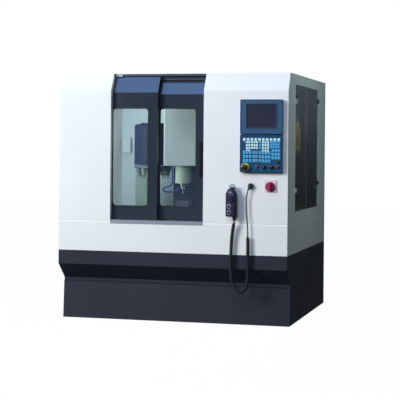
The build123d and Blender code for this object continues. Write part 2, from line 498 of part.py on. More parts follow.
# ---- head -----------------------------------------------------------------
HEAD_HALF = 125.0
HEAD_TOP, QUILL_TOP = 1440.0, 1250.0  # the casting's top, and the spindle housing's
with BuildPart() as head_casting:
    block(MX - 115, MX + 115, PLATE_Y - 38, PLATE_Y, HEAD_LOW + 6, HEAD_TOP)
    for dx in (-100, 100):
        for z in (HEAD_LOW + 40, HEAD_TOP - 90):
            block(MX + dx - 28, MX + dx + 28, PLATE_Y, COLUMN_FRONT - 4, z, z + 60)
        block(MX + dx - 12 - RUN, MX + dx + 12 + RUN, COLUMN_FRONT - Z_RAIL - RUN, COLUMN_FRONT, HEAD_LOW, HEAD_TOP + 5, Mode.SUBTRACT)
    block(MX - 25, MX + 25, PLATE_Y, COLUMN_FRONT - 1, 1200, 1260)
    rod("Z", (MX, Z_SCREW_Y), 1199, 1261, 10 + RUN, Mode.SUBTRACT)
    block(MX - 80, MX + 80, MY - 65, PLATE_Y - 38, HEAD_LOW + 6, QUILL_TOP)
    rod("Z", (MX, MY), SPINDLE_NOSE, QUILL_TOP, 57)
    rod("Z", (MX, MY), QUILL_TOP, HEAD_TOP, 62)
    rod("Z", (MX, MY), SPINDLE_NOSE - 1, QUILL_TOP - 10, 34 + RUN, Mode.SUBTRACT)
save("head_casting", head_casting.part)

with BuildPart() as head_cover:
    with BuildSketch(Plane.XY.offset(HEAD_LOW)) as s:
        with Locations((MX, (MY - 85 + PLATE_Y - 5) / 2)):
            Rectangle(2 * HEAD_HALF, PLATE_Y - 5 - (MY - 85))
        fillet(s.vertices().group_by(Axis.Y)[0], 12)
    extrude(s.sketch, amount=HEAD_HIGH - HEAD_LOW)
    offset(amount=-SHEET, openings=head_cover.part.faces().sort_by(Axis.Y)[-1])
    rod("Z", (MX, MY), HEAD_LOW - 1, HEAD_LOW + 4, 57.5, Mode.SUBTRACT)
save("head_cover", head_cover.part)

with BuildPart() as spindle:
    turned((MX, MY, SPINDLE_NOSE), [(5, -75), (5, -49), (10, -46), (13, -42), (13, -25), (19, -22), (23, -20), (23, -16), (19, -14), (19, -11), (23, -9), (23, -4), (34, -4), (34, QUILL_TOP - SPINDLE_NOSE - 15)])
save("spindle", spindle.part)


def tube(points, r, name):
    """A round tube along a filleted route."""
    radii = []
    for a, b, c in zip(points, points[1:], points[2:]):
        u, v = Vector(*b) - Vector(*a), Vector(*c) - Vector(*b)
        turn = u.get_angle(v)
        radii.append(0.45 * min(u.length, v.length) / tan(turn * pi / 360))
    with BuildPart() as t:
        with BuildLine() as line:
            FilletPolyline(*points, radius=radii)
        start = line.wire() @ 0
        with BuildSketch(Plane(origin=start, z_dir=line.wire() % 0)) as s:
            Circle(r)
        sweep(s.sketch, path=line.wire())
    return t.part


HOSE = [(MX - 73, MY - 30, HEAD_LOW), (MX - 73, MY - 30, 912), (MX - 134, MY - 32, 904), (MX - 140, MY - 30, 868), (MX - 60, MY - 15, 868), (MX - 22, MY - 5, 898)]
save("coolant_hose", tube(HOSE, 6.0, "coolant_hose"))

BELLOWS_LOW = 746.0
PLEATS = 16
FOLDS = [(PLATE_Y - 30 + 9 * (k % 2), BELLOWS_LOW + (HEAD_LOW - BELLOWS_LOW) * k / (2 * PLEATS)) for k in range(2 * PLEATS + 1)]
with BuildPart() as z_bellows:
    profile([*FOLDS, (PLATE_Y - 12, HEAD_LOW), (PLATE_Y - 12, BELLOWS_LOW)], MX - 130, MX + 130)
save("z_bellows", z_bellows.part)

with BuildPart() as x_screw:
    rod("X", (MY, X_SCREW_Z), MX - HALF_T + 0.5, MX + HALF_T - 2, 8)
save("x_screw", x_screw.part)
with BuildPart() as y_screw:
    rod("Y", (MX, Y_SCREW_Z), BED_FRONT + 2, F + 854, 8)
save("y_screw", y_screw.part)
with BuildPart() as z_screw:
    rod("Z", (MX, Z_SCREW_Y), 752, COLUMN_TOP - 1, 10)
save("z_screw", z_screw.part)

# ---- services -------------------------------------------------------------
TANK_LEFT = MX + BED_HALF + 60
with BuildPart() as coolant_tank:
    block(TANK_LEFT, XR - 30, F + 160, F + 1100, SHEET, 200)
    block(TANK_LEFT + SHEET, XR - 30 - SHEET, F + 160 + SHEET, F + 1100 - SHEET, 2 * SHEET, 201, Mode.SUBTRACT)
    block(TANK_LEFT, TANK_LEFT + 110, F + 160, F + 300, 200, 203)
    rod("Z", (TANK_LEFT + 55, F + 245), 20, 203, 30)
    block(TANK_LEFT + 10, TANK_LEFT + 100, F + 200, F + 290, 203, 212)
    rod("Z", (TANK_LEFT + 55, F + 245), 212, 288, 38)
save("coolant_tank", coolant_tank.part)

TANK_Y = F + 634
with BuildPart() as lubricator:
    block(GUARD_X + 40, GUARD_X + 170, TANK_Y, TANK_Y + 120, 1160, 1330)
    block(GUARD_X + 60, GUARD_X + 150, TANK_Y + 20, TANK_Y + 100, 1330, 1372)
    block(GUARD_X + 2, GUARD_X + 40, TANK_Y + 30, TANK_Y + 90, 1200, 1300)
save("lubricator", lubricator.part)

with BuildPart() as work_lamp:
    block(-340, 160, F + 240, F + 290, HEIGHT - 45, HEIGHT - 20)
    for x in (-300, 100):
        block(x, x + 20, F + 255, F + 275, HEIGHT - 20, TOP - 0.5)
save("work_lamp", work_lamp.part)

# ---- operator units --------------------------------------------------------
UF = F - UNIT_OUT  # front of the operator units
SCREEN = (UNIT_LEFT + 45, UNIT_LEFT + 245, DISPLAY_LOW + 40, DISPLAY_LOW + 194)
with BuildPart() as display_housing:
    pane(UNIT_LEFT, UNIT_RIGHT, DISPLAY_LOW, DISPLAY_HIGH, UF, F, 6)
    pane(SCREEN[0], SCREEN[1], SCREEN[2], SCREEN[3], UF - 1, UF + 6, 3, Mode.SUBTRACT)
    for k in range(10):
        x = SCREEN[0] + 2 + k * 20.3
        pane(x, x + 13, DISPLAY_LOW + 15, DISPLAY_LOW + 26, UF - 1.2, UF, 2)
save("display_housing", display_housing.part)
with BuildPart() as display_screen:
    pane(SCREEN[0] + 0.4, SCREEN[1] - 0.4, SCREEN[2] + 0.4, SCREEN[3] - 0.4, UF + 2, UF + 6, 2.6)
save("display_screen", display_screen.part)

ROW_Z = KEYS_LOW + 34  # the knobs and buttons stand in one row
STOP_X, STOP_Z = UNIT_LEFT + 34, ROW_Z - 3
KNOBS = {"feed_knob": (UNIT_LEFT + 163, ROW_Z), "spindle_knob": (UNIT_LEFT + 214, ROW_Z)}
BUTTONS = {"stop_button": (UNIT_LEFT + 258, ROW_Z), "start_button": (UNIT_LEFT + 260, ROW_Z + 35)}
LAMP_X, LAMP_Z = UNIT_LEFT + 115, ROW_Z + 3
with BuildPart() as operator_keyboard:
    pane(UNIT_LEFT, UNIT_RIGHT, KEYS_LOW, KEYS_HIGH, UF, F, 6)
    rod("Y", (STOP_X, STOP_Z), UF - 4, UF, 29)
    rod("Y", (STOP_X, STOP_Z), UF - 5, UF + 20, 11 + RUN, Mode.SUBTRACT)
    rod("Y", (LAMP_X, LAMP_Z), UF - 6, UF, 10)
    for x, z in KNOBS.values():
        rod("Y", (x, z), UF - 1, UF + 12, 6 + RUN, Mode.SUBTRACT)
    for x, z in BUTTONS.values():
        rod("Y", (x, z), UF - 1, UF + 8, 10 + RUN, Mode.SUBTRACT)
save("operator_keyboard", operator_keyboard.part)

with BuildPart() as emergency_stop:
    turned((STOP_X, UF, STOP_Z), [(11, -10), (11, 20), (15, 20), (22, 23), (22, 29), (20, 33), (16, 34)], "-Y")
save("emergency_stop", emergency_stop.part)
for name, (x, z) in KNOBS.items():
    with BuildPart() as knob:
        rod("Y", (x, z), UF - 20, UF - 1, 14)
        rod("Y", (x, z), UF - 1.5, UF + 10, 6)
        block(x - 1.5, x + 1.5, UF - 22, UF - 18, z - 2, z + 14)
    save(name, knob.part)
for name, (x, z) in BUTTONS.items():
    with BuildPart() as button:
        rod("Y", (x, z), UF - 6, UF + 4, 10)
    save(name, button.part)

with BuildPart() as main_switch_plate:
    pane(SWITCH_X - 40, SWITCH_X + 40, SWITCH_Z - 34, SWITCH_Z + 44, F - 6, F, 5)
    rod("Y", (SWITCH_X, SWITCH_Z), F - 7, F - 1, 8 + RUN, Mode.SUBTRACT)
save("main_switch_plate", main_switch_plate.part)
with BuildPart() as main_switch_knob:
    rod("Y", (SWITCH_X, SWITCH_Z), F - 20, F - 7, 31)
    rod("Y", (SWITCH_X, SWITCH_Z), F - 8, F - 2, 8)
    block(SWITCH_X - 8, SWITCH_X + 8, F - 40, F - 20, SWITCH_Z - 29, SWITCH_Z + 29)
save("main_switch_knob", main_switch_knob.part)

# ---- pendant ---------------------------------------------------------------
HALF_W = PENDANT_WIDTH / 2
PENDANT_Y = F - 34.0  # the pendant's middle
PENDANT_AT = Location((PENDANT_X, PENDANT_Y, 0), (0, 0, -PENDANT_TURN))
FACE = -PENDANT_THICK / 2  # the pendant's own front, in its own place
WHEEL_Z, AXIS_Z, RATE_Z = 852.0, 800.0, 760.0
WHEEL_R = 28.0
SELECT_X = -8.0
with BuildPart() as pendant_housing:
    with BuildSketch(Plane.XZ.offset(FACE)) as s:
        with BuildLine():
            Polyline((-HALF_W, PENDANT_LOW), (HALF_W, PENDANT_LOW), (HALF_W, PENDANT_HIGH - 34), (HALF_W - 20, PENDANT_HIGH), (20 - HALF_W, PENDANT_HIGH), (-HALF_W, PENDANT_HIGH - 34), close=True)
        make_face()
        fillet(s.vertices().group_by(Axis.Y)[0], 12)
        fillet([v for g in s.vertices().group_by(Axis.Y)[-2:] for v in g], 8)
    extrude(s.sketch, amount=PENDANT_THICK)
    rod("Z", (0, 0), PENDANT_HIGH - 2, PENDANT_HIGH + 6, 10)
    with Locations((20, 0, PENDANT_LOW + 1 - RELIEF / 2)):
        Cone(7, 10.5, RELIEF + 2)
    rod("Y", (0, WHEEL_Z), FACE - 1, FACE + 12, 6 + RUN, Mode.SUBTRACT)
    for z in (AXIS_Z, RATE_Z):
        rod("Y", (SELECT_X, z), FACE - 1, FACE + 12, 5 + RUN, Mode.SUBTRACT)
save("pendant_housing", PENDANT_AT * pendant_housing.part)
with BuildPart() as pendant_wheel:
    rod("Y", (0, WHEEL_Z), FACE - 12, FACE - 1, WHEEL_R)
    rod("Y", (0, WHEEL_Z), FACE - 2, FACE + 10, 6)
    rod("Y", (14, WHEEL_Z + 10), FACE - 26, FACE - 12, 6)
save("pendant_wheel", PENDANT_AT * pendant_wheel.part)
for name, z in (("pendant_axis_knob", AXIS_Z), ("pendant_rate_knob", RATE_Z)):
    with BuildPart() as knob:
        rod("Y", (SELECT_X, z), FACE - 14, FACE - 1, 10)
        rod("Y", (SELECT_X, z), FACE - 2, FACE + 10, 5)
        block(SELECT_X - 1.5, SELECT_X + 1.5, FACE - 16, FACE - 12, z, z + 10)
    save(name, PENDANT_AT * knob.part)

with BuildPart() as pendant_hook:
    block(PENDANT_X - 20, PENDANT_X + 12, F - 4, F, 905, 946)
    block(PENDANT_X - 16, PENDANT_X + 16, F - 50, F - 4, PENDANT_HIGH + 7, PENDANT_HIGH + 11)
    block(PENDANT_X - 16, PENDANT_X + 16, F - 53, F - 50, PENDANT_HIGH + 7, PENDANT_HIGH + 22)
save("pendant_hook", pendant_hook.part)

CORD_Y = F - 24.0
ELBOW = 27.0  # degrees, the gland's elbow from upright
LEAN_X, LEAN_Z = sin(ELBOW * pi / 180), cos(ELBOW * pi / 180)
with BuildPart() as cable_gland:
    with BuildSketch(Plane.XZ.offset(-F)) as s:
        with Locations((GLAND_X, GLAND_Z)):
            RegularPolygon(21, 6)
    extrude(s.sketch, amount=12)
    rod("Y", (GLAND_X, GLAND_Z), F - 30, F - 12, 15)
    with Locations(Location((GLAND_X - 6, CORD_Y, GLAND_Z - 12), (0, ELBOW, 0))):
        Cylinder(8, 30)
save("cable_gland", cable_gland.part)

# ---- pendant cord: a thin lead at each end and a curly middle -------------
LEAD_X, LEAD_Z = GLAND_X - 6 - 15 * LEAN_X, GLAND_Z - 12 - 15 * LEAN_Z
LEAD_TOP = [(LEAD_X, CORD_Y, LEAD_Z), (LEAD_X - 45 * LEAN_X, CORD_Y, LEAD_Z - 45 * LEAN_Z), (538, CORD_Y, 660), (538.5, CORD_Y, 606)]
COIL = [(538.5, CORD_Y, 606), (541.15, CORD_Y, 320), (496, CORD_Y, 226), (429.1, CORD_Y, 330), (430, CORD_Y, 600)]
TURN = PENDANT_TURN * pi / 180
TAIL_X, TAIL_Y = PENDANT_X + 20 * cos(TURN), PENDANT_Y - 20 * sin(TURN)
LEAD_LOW = [(430, CORD_Y, 600), (430.2, CORD_Y, 635), (TAIL_X, TAIL_Y, 660), (TAIL_X, TAIL_Y, PENDANT_LOW - RELIEF)]
with BuildPart() as pendant_lead:
    add(tube(LEAD_TOP, LEAD_DIAMETER / 2, "lead"))
    add(tube(LEAD_LOW, LEAD_DIAMETER / 2, "lead"))
save("pendant_lead", pendant_lead.part)
save("pendant_coil", tube(COIL, COIL_DIAMETER / 2, "coil"))
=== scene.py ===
"""Looks of an enclosed machining centre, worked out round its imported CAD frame.

Metres. +Z is up, the front faces -Y, +X is the operator's right. Laid out as an add-on and run as a script.
"""

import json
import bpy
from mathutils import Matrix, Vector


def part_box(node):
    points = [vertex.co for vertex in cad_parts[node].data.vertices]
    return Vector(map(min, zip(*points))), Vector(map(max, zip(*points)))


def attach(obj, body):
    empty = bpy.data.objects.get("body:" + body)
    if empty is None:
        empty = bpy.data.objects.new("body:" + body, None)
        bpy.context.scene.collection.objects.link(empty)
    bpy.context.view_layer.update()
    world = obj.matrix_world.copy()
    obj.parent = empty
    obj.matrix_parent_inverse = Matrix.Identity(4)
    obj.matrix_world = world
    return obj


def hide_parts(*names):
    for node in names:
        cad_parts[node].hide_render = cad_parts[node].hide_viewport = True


bl_info = {
    "name": "Machining Centre Looks",
    "version": (1, 0, 0),
    "blender": (4, 5, 0),
    "location": "View3D > Sidebar > Machining Centre",
    "description": "Trim, controls, cord, finishes and stage of an enclosed machining centre",
    "category": "Object",
}

import bpy
import numpy as np
from mathutils import Matrix, Vector

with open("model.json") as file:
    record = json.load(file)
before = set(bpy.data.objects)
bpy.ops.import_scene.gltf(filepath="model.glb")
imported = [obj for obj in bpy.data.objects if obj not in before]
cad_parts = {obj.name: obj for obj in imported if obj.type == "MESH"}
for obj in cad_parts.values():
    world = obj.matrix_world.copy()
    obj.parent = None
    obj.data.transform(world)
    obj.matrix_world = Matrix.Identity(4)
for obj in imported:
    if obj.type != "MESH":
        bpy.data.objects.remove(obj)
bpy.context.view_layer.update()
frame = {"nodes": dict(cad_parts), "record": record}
TAU = 2 * np.pi

# ---- places on the housing: read from the frame, or measured once and named ----

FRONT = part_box("left_front_panel")[0].y
UNIT_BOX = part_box("display_housing")
KEY_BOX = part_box("operator_keyboard")
UNIT_FACE = FRONT - 0.030  # face of the operator station
WHITE_SEAM = 0.6832  # height of the seam round the white sheets
# the pale ledge under the seam is a painted highlight, with a normal that also leans up to the light
LEDGE = (0.0045, 0.0030)  # depth under that seam and half width of its pale ledge
PANE_STRIP = (-0.108, -0.0425)  # y of the strip between the two panes
HINGES = (-0.4545, 0.3745)  # y beyond which the panes' hinges stand
DISC_EDGE = 1.031  # height under which the magazine's disc shows its tools
WARNING_LAMP = (0.597, 1.064)
PENDANT_AT = (0.430, -0.784)
PENDANT_TURN = -np.radians(15.0)
PENDANT_FACE = -0.022  # y of its face in the pendant's own place
WHEEL_HEIGHT = 0.852
SELECTORS = {"pendant_axis_knob": 0.800, "pendant_rate_knob": 0.760}
SELECTOR_X = -0.008
RELIEF_X = 0.020  # how far to its right the cord leaves the pendant
GLAND = (0.551, 0.935)
GLAND_LEAN = np.radians(27.0)
CORD_Y = FRONT - 0.024
TURN_POINTS = 12  # control points in each turn of the curly part
FORWARD, BACKWARD = (0, -1, 0), (0, 1, 0)
UP = (0, 0, 1)


def middle(node):
    """The x and z of the middle of a CAD node's box."""
    low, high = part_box(node)
    return (low.x + high.x) / 2, (low.z + high.z) / 2


# ---- surfaces: each function gives (points, faces); profiles and sections are in millimetres ----


def skin(rings, joined=False):
    """Rings of points (ring, point, xyz), a quad between each two neighbours and the next ring.

    The ends are closed by flat caps, unless the last ring is joined to the first.
    """
    v, u = rings.shape[:2]
    i = np.arange(v * u).reshape(v, u)
    low, high = (i, np.roll(i, -1, 0)) if joined else (i[:-1], i[1:])
    quads = np.stack([low, np.roll(low, -1, 1), np.roll(high, -1, 1), high], -1).reshape(-1, 4)
    faces = quads.tolist()
    if not joined:
        faces += [i[0, ::-1].tolist(), i[-1].tolist()]
    return rings.reshape(-1, 3), faces


def ring(count):
    """Angles of evenly spaced points round a circle."""
    return np.arange(count) * TAU / count


def signed_power(w, n):
    """w to the power n, with its sign kept."""
    return np.sign(w) * np.abs(w) ** n


def turned(profile, at, count, along=FORWARD, flutes=0, depth=0.0):
    """A turned form: radius r(s) at distance s along its axis, with the profile (r, s) in millimetres.

    Flutes make r smaller by depth * (1 - cos(flutes * angle)) / 2.
    """
    profile = np.asarray(profile, float) / 1000
    along = np.asarray(along, float) / np.linalg.norm(along)
    side = np.cross(along, (0, 0, 1) if abs(along[2]) < 0.9 else (1, 0, 0))
    side /= np.linalg.norm(side)
    up = np.cross(along, side)
    a = ring(count)
    round_ = np.cos(a)[:, None] * side + np.sin(a)[:, None] * up
    cut = depth * (1 - np.cos(flutes * a)) / 2 * (profile[:, :1] > depth * 2)
    r = profile[:, :1] * np.ones(count) - cut
    return skin(np.asarray(at) + profile[:, 1, None, None] * along + r[..., None] * round_)


def flat_ring(profile, x, y, z, count, aside=0.0):
    """A closed section (radius r, distance forward) carried round an axis that points forward.

    Its points are x + r cos(angle) and z + r sin(angle), both moved by aside.
    """
    r, ahead = (np.asarray(profile, float) / 1000).T[..., None]
    a = ring(count)
    across, over = x + aside + r * np.cos(a), z + aside + r * np.sin(a)
    return skin(np.stack([across, y - ahead * np.ones(count), over], -1), joined=True)


def rounded_polygon(corners, radii, count=6):
    """A convex outline in x and z, its corners anticlockwise.

    At each corner stands an arc of radius r about a centre r / cos(half the turn) inside it.
    """
    c = np.asarray(corners, float)
    r = np.broadcast_to(np.asarray(radii, float), len(c))
    before, after = c - np.roll(c, 1, 0), np.roll(c, -1, 0) - c
    start, end = (np.arctan2(-d[:, 0], d[:, 1]) for d in (before, after))
    turn = (end - start) % TAU
    t = start[:, None] + turn[:, None] * np.linspace(0, 1, count)
    half = start + turn / 2
    centre = c - (r / np.cos(turn / 2))[:, None] * np.stack([np.cos(half), np.sin(half)], -1)
    out = np.stack([np.cos(t), np.sin(t)], -1)
    return (centre[:, None] + r[:, None, None] * out).reshape(-1, 2), out.reshape(-1, 2)


def rounded_outline(x0, x1, z0, z1, r, corner):
    """A rectangle in x and z with round corners."""
    return rounded_polygon([(x1, z1), (x0, z1), (x0, z0), (x1, z0)], r, corner)


def frame_bead(box, y, r, section, inset=0.0):
    """A closed section (out from the outline, on from y) carried round a box's front with round corners."""
    low, high = box
    line, out = rounded_outline(low.x + inset, high.x - inset, low.z + inset, high.z - inset, r, 8)
    s = np.asarray(section, float) / 1000
    p = line[:, None] + out[:, None] * s[None, :, :1]
    return skin(np.stack([p[..., 0], np.broadcast_to(y + s[:, 1], p.shape[:2]), p[..., 1]], -1), joined=True)


def plate(outline, y_back, y_front, soft, back_soft=0.0, steps=4):
    """A plate on an outline: its edges are drawn in by soft * (1 - cos t) while y goes on by soft * sin t."""
    line, out = outline
    way = np.sign(y_front - y_back)
    t = np.linspace(0, np.pi / 2, steps)
    back_t = t[::-1] if back_soft else np.zeros(1)
    inset = np.concatenate([back_soft * (1 - np.cos(back_t)), soft * (1 - np.cos(t))])
    back, front = y_back + way * back_soft * (1 - np.sin(back_t)), y_front - way * soft * (1 - np.sin(t))
    p = line[None] - out[None] * inset[:, None, None]
    y = np.broadcast_to(np.concatenate([back, front])[:, None], p.shape[:2])
    return skin(np.stack([p[..., 0], y, p[..., 1]], -1))


def pad(x0, x1, z0, z1, y_back, y_front, r, soft, corner=3):
    """A plate with round corners and an eased front edge."""
    return plate(rounded_outline(x0, x1, z0, z1, r, corner), y_back, y_front, soft)


def soft_block(at, half, power, count, rows):
    """A block with soft edges: x = a c(u)^(2/n) c(v)^(2/n), y and z alike, with powers that keep the sign."""
    u = ring(count)
    v = np.linspace(-np.pi / 2, np.pi / 2, rows)[1:-1, None]
    cu, su, cv, sv = (signed_power(w, 2 / power) for w in (np.cos(u), np.sin(u), np.cos(v), np.sin(v)))
    return skin(np.asarray(at) + np.stack([cv * cu, cv * su, sv * np.ones(count)], -1) * np.asarray(half))


def on_pendant(*shapes):
    """Forms made in the pendant's own place, turned about +Z and put where the pendant hangs."""
    c, s = np.cos(PENDANT_TURN), np.sin(PENDANT_TURN)
    turn = np.array([[c, -s, 0], [s, c, 0], [0, 0, 1]]).T
    return [(points @ turn + np.array([*PENDANT_AT, 0.0]), faces) for points, faces in shapes]


def outward(points, faces):
    """The faces, reversed where the form's signed volume is negative."""
    total = 0.0
    for n in {len(f) for f in faces}:
        f = np.array([g for g in faces if len(g) == n])
        for k in range(1, n - 1):
            fan = np.cross(points[f[:, k]], points[f[:, k + 1]])
            total += np.einsum("ij,ij->i", points[f[:, 0]], fan).sum()
    return [g[::-1] for g in faces] if total < 0 else faces


def new_object(name, data):
    """An object with the given data, put in the scene."""
    obj = bpy.data.objects.new(name, data)
    bpy.context.scene.collection.objects.link(obj)
    return obj


def piece(name, shapes, slot, finishes=None, body="housing", stands_for=(), crease=35.0):
    """Makes one object of several forms.

    finishes is one material or one for each form, and otherwise the slot's own.
    """
    points, faces, index, start = [], [], [], 0
    if not isinstance(finishes, list):
        finishes = [finishes or slot_finish(slot)] * len(shapes)
    kinds = list(dict.fromkeys(finishes))
    for (p, f), m in zip(shapes, finishes):
        f = outward(p, f)
        points.append(p)
        faces += [[i + start for i in g] for g in f]
        index += [kinds.index(m)] * len(f)
        start += len(p)
    mesh = bpy.data.meshes.new(name)
    mesh.from_pydata(np.concatenate(points).tolist(), [], faces)
    for m in kinds:
        mesh.materials.append(m)
    mesh.polygons.foreach_set("material_index", np.array(index, np.int32))
    mesh.polygons.foreach_set("use_smooth", np.ones(len(faces), bool))
    mesh.set_sharp_from_angle(angle=np.radians(crease))
    mesh.update()
    obj = new_object(name, mesh)
    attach(obj, body)
    if stands_for:
        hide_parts(*stands_for)


# ---- node groups ----


def srgb(r, g, b):
    """A colour read as 0 to 255, as the linear colour that Blender works in."""
    c = np.array([r, g, b]) / 255
    return tuple(float(v) for v in np.where(c <= 0.04045, c / 12.92, ((c + 0.055) / 1.055) ** 2.4))


class Graph:
    """Short names for making nodes and links in one tree."""

    def __init__(self, tree):
        self.tree = tree

    def give(self, socket, value):
        """Links another node's output to a socket, or sets its plain value."""
        if isinstance(value, bpy.types.NodeSocket):
            self.tree.links.new(value, socket)
        else:
            socket.default_value = value

    def node(self, kind, inputs=None, **values):
        n = self.tree.nodes.new("ShaderNode" + kind)
        for key, value in values.items():
            setattr(n, key, value)
        for key, value in (inputs or {}).items():
            self.give(n.inputs[key], value)
        return n

    def math(self, way, a, b=0.5, clamp=False):
        return self.node("Math", {0: a, 1: b}, operation=way, use_clamp=clamp).outputs[0]

    def times(self, a, b):
        return self.math("MULTIPLY", a, b)

    def near(self, value, width):
        """1 where a value lies within a width of 0, and 0 elsewhere."""
        return self.math("LESS_THAN", self.math("ABSOLUTE", value), width)

    def vector(self, way, inputs):
        return self.node("VectorMath", inputs, operation=way).outputs[0]

    def mix(self, share, a, b):
        """From colour a to colour b by a share."""
        n = self.node("Mix", {0: share}, data_type="RGBA")
        for key, value in ((6, a), (7, b)):
            self.give(n.inputs[key], value if isinstance(value, bpy.types.NodeSocket) else (*value[:3], 1))
        return n.outputs[2]

    def remap(self, value, a, b, c=0.0, d=1.0):
        """A value from a to b, as one from c to d."""
        return self.node("MapRange", {0: value, 1: a, 2: b, 3: c, 4: d}).outputs[0]

    def where(self):
        """The place on the object, in metres."""
        return self.node("TexCoord").outputs["Object"]

    def place(self):
        """The x, y and z of the place on the object."""
        return self.node("SeparateXYZ", {0: self.where()}).outputs

    def noise(self, where, scale, detail, roughness=0.5):
        inputs = {"Vector": where, "Scale": scale, "Detail": detail, "Roughness": roughness}
        return self.node("TexNoise", inputs).outputs["Fac"]

    def swing(self, base, noise, reach):
        """A base value that the noise moves up and down, kept between 0 and 1."""
        return self.math("ADD", base, self.times(self.math("SUBTRACT", noise, 0.5), reach), clamp=True)

    def bump(self, height, strength, distance):
        inputs = {"Height": height, "Strength": strength, "Distance": distance}
        return self.node("Bump", inputs).outputs[0]

    def effect(self, kind, inputs):
        """A node of one of the effect groups with its own values, as its outputs."""
        return self.node("Group", inputs, node_tree=group(*EFFECTS[kind])).outputs

    def surface(self, inputs):
        """A Principled shader with the given inputs as the material's surface."""
        shade = self.node("BsdfPrincipled", inputs)
        self.node("OutputMaterial", {0: shade.outputs[0]})

    def seen(self):
        """The light path, and 1 where the camera looks straight or through glass."""
        path = self.node("LightPath").outputs
        return path, self.math("MAXIMUM", path["Is Camera Ray"], path["Is Transmission Ray"])


def new_tree(data):
    """The graph of a material's or a world's emptied node tree."""
    data.use_nodes = True
    data.node_tree.nodes.clear()
    return Graph(data.node_tree)


def new_material(name):
    """A material and the graph of its empty node tree."""
    m = bpy.data.materials.new(name)
    return m, new_tree(m)


OUTPUTS = {"Colour": "Color", "Roughness": "Float", "Normal": "Vector", "Cover": "Float"}


def group(name, outputs, build, inputs):
    """Makes a shader node group once; an input's kind follows from how many numbers its default holds."""
    if name in bpy.data.node_groups:
        return bpy.data.node_groups[name]
    tree = bpy.data.node_groups.new(name, "ShaderNodeTree")
    for n, default in inputs.items():
        kind = {3: "Vector", 4: "Color"}[len(default)] if isinstance(default, tuple) else "Float"
        s = tree.interface.new_socket(n, in_out="INPUT", socket_type="NodeSocket" + kind)
        s.default_value = default
    for n in outputs:
        tree.interface.new_socket(n, in_out="OUTPUT", socket_type="NodeSocket" + OUTPUTS[n])
    given, out = (tree.nodes.new("NodeGroup" + end) for end in ("Input", "Output"))
    for n, socket in build(Graph(tree), given.outputs).items():
        tree.links.new(socket, out.inputs[n])
    return tree


def build_enamel(g, given):
    """Sprayed enamel: faint clouds, the spray's fine peel, specks, and a blotchy darkening towards the floor, which
    stands for dirt and, on the inner guards, for painted shade.
    """
    where = g.where()
    cloud = g.noise(where, given["Cloud Scale"], 4.0, 0.6)
    peel = g.noise(where, given["Peel Scale"], 2.0)
    speck = g.noise(where, 900.0, 1.0)
    z = g.place()[2]
    # dirt and painted shade: darker towards the floor, blotched by the clouds; on the inner guards it reaches 1.1 m as
    # painted shade
    low = g.times(g.remap(z, 0.0, given["Soot Height"], 1.0, 0.0), g.remap(cloud, 0.35, 0.65, 0.4, 1.0))
    spread = g.times(g.remap(cloud, 0.3, 0.7), given["Cloud Amount"])
    colour = g.mix(spread, given["Colour"], given["Second Colour"])
    colour = g.mix(g.times(low, given["Soot"]), colour, (0.05, 0.048, 0.045))
    colour = g.mix(g.times(g.remap(speck, 0.62, 0.75), given["Speck"]), colour, given["Second Colour"])
    rough = g.swing(given["Roughness"], cloud, 0.22)
    return {"Colour": colour, "Roughness": rough, "Normal": g.bump(peel, given["Peel"], 0.0008)}


def build_ground(g, given):
    """Ground metal: fine lines along the stretched way, and clouds of oil."""
    where = g.where()
    fine = g.node("Mapping", {"Vector": where, "Scale": given["Stretch"]}).outputs[0]
    lines = g.noise(fine, 60.0, 4.0, 0.7)
    cloud = g.noise(where, 18.0, 3.0)
    colour = g.mix(g.times(g.remap(lines, 0.35, 0.65), 0.55), given["Colour"], given["Second Colour"])
    colour = g.mix(g.times(g.remap(cloud, 0.55, 0.8), given["Oil"]), colour, (0.06, 0.055, 0.045))
    rough = g.swing(given["Roughness"], lines, 0.35)
    return {"Colour": colour, "Roughness": rough, "Normal": g.bump(lines, 0.18, 0.0003)}


def build_moulded(g, given):
    """Moulded plastic and rubber: the tool's cell grain and a slow change of colour."""
    where = g.where()
    grain = g.node("TexVoronoi", {"Vector": where, "Scale": given["Grain Scale"]}).outputs["Distance"]
    cloud = g.noise(where, 25.0, 3.0)
    colour = g.mix(g.times(g.remap(cloud, 0.35, 0.7), 0.5), given["Colour"], given["Second Colour"])
    rough = g.swing(given["Roughness"], cloud, 0.25)
    return {"Colour": colour, "Roughness": rough, "Normal": g.bump(grain, given["Grain"], 0.0004)}


def build_seam(g, given):
    """A thin line at the given height, with a band just under it painted pale as a highlight, over a ledge whose normal
    leans back to the light.
    """
    off = g.math("SUBTRACT", g.place()[2], given["Height"])
    line = g.near(off, given["Half Width"])
    under = g.near(g.math("ADD", off, g.times(given["Half Width"], 3.0)), given["Half Width"])
    colour = g.mix(g.times(line, given["Strength"]), given["Colour"], given["Line"])
    # painted highlight: the band under the line is mixed towards white
    colour = g.mix(g.times(under, given["Pale"]), colour, (1.0, 1.0, 1.0))
    ledge = g.near(g.math("ADD", off, LEDGE[0]), LEDGE[1])
    rise = g.vector("SCALE", {0: (-0.45, 0.0, 0.9), 3: g.times(ledge, given["Pale"])})
    lean = g.vector("ADD", {0: given["Normal"], 1: rise})
    return {"Colour": colour, "Normal": g.vector("NORMALIZE", {0: lean})}


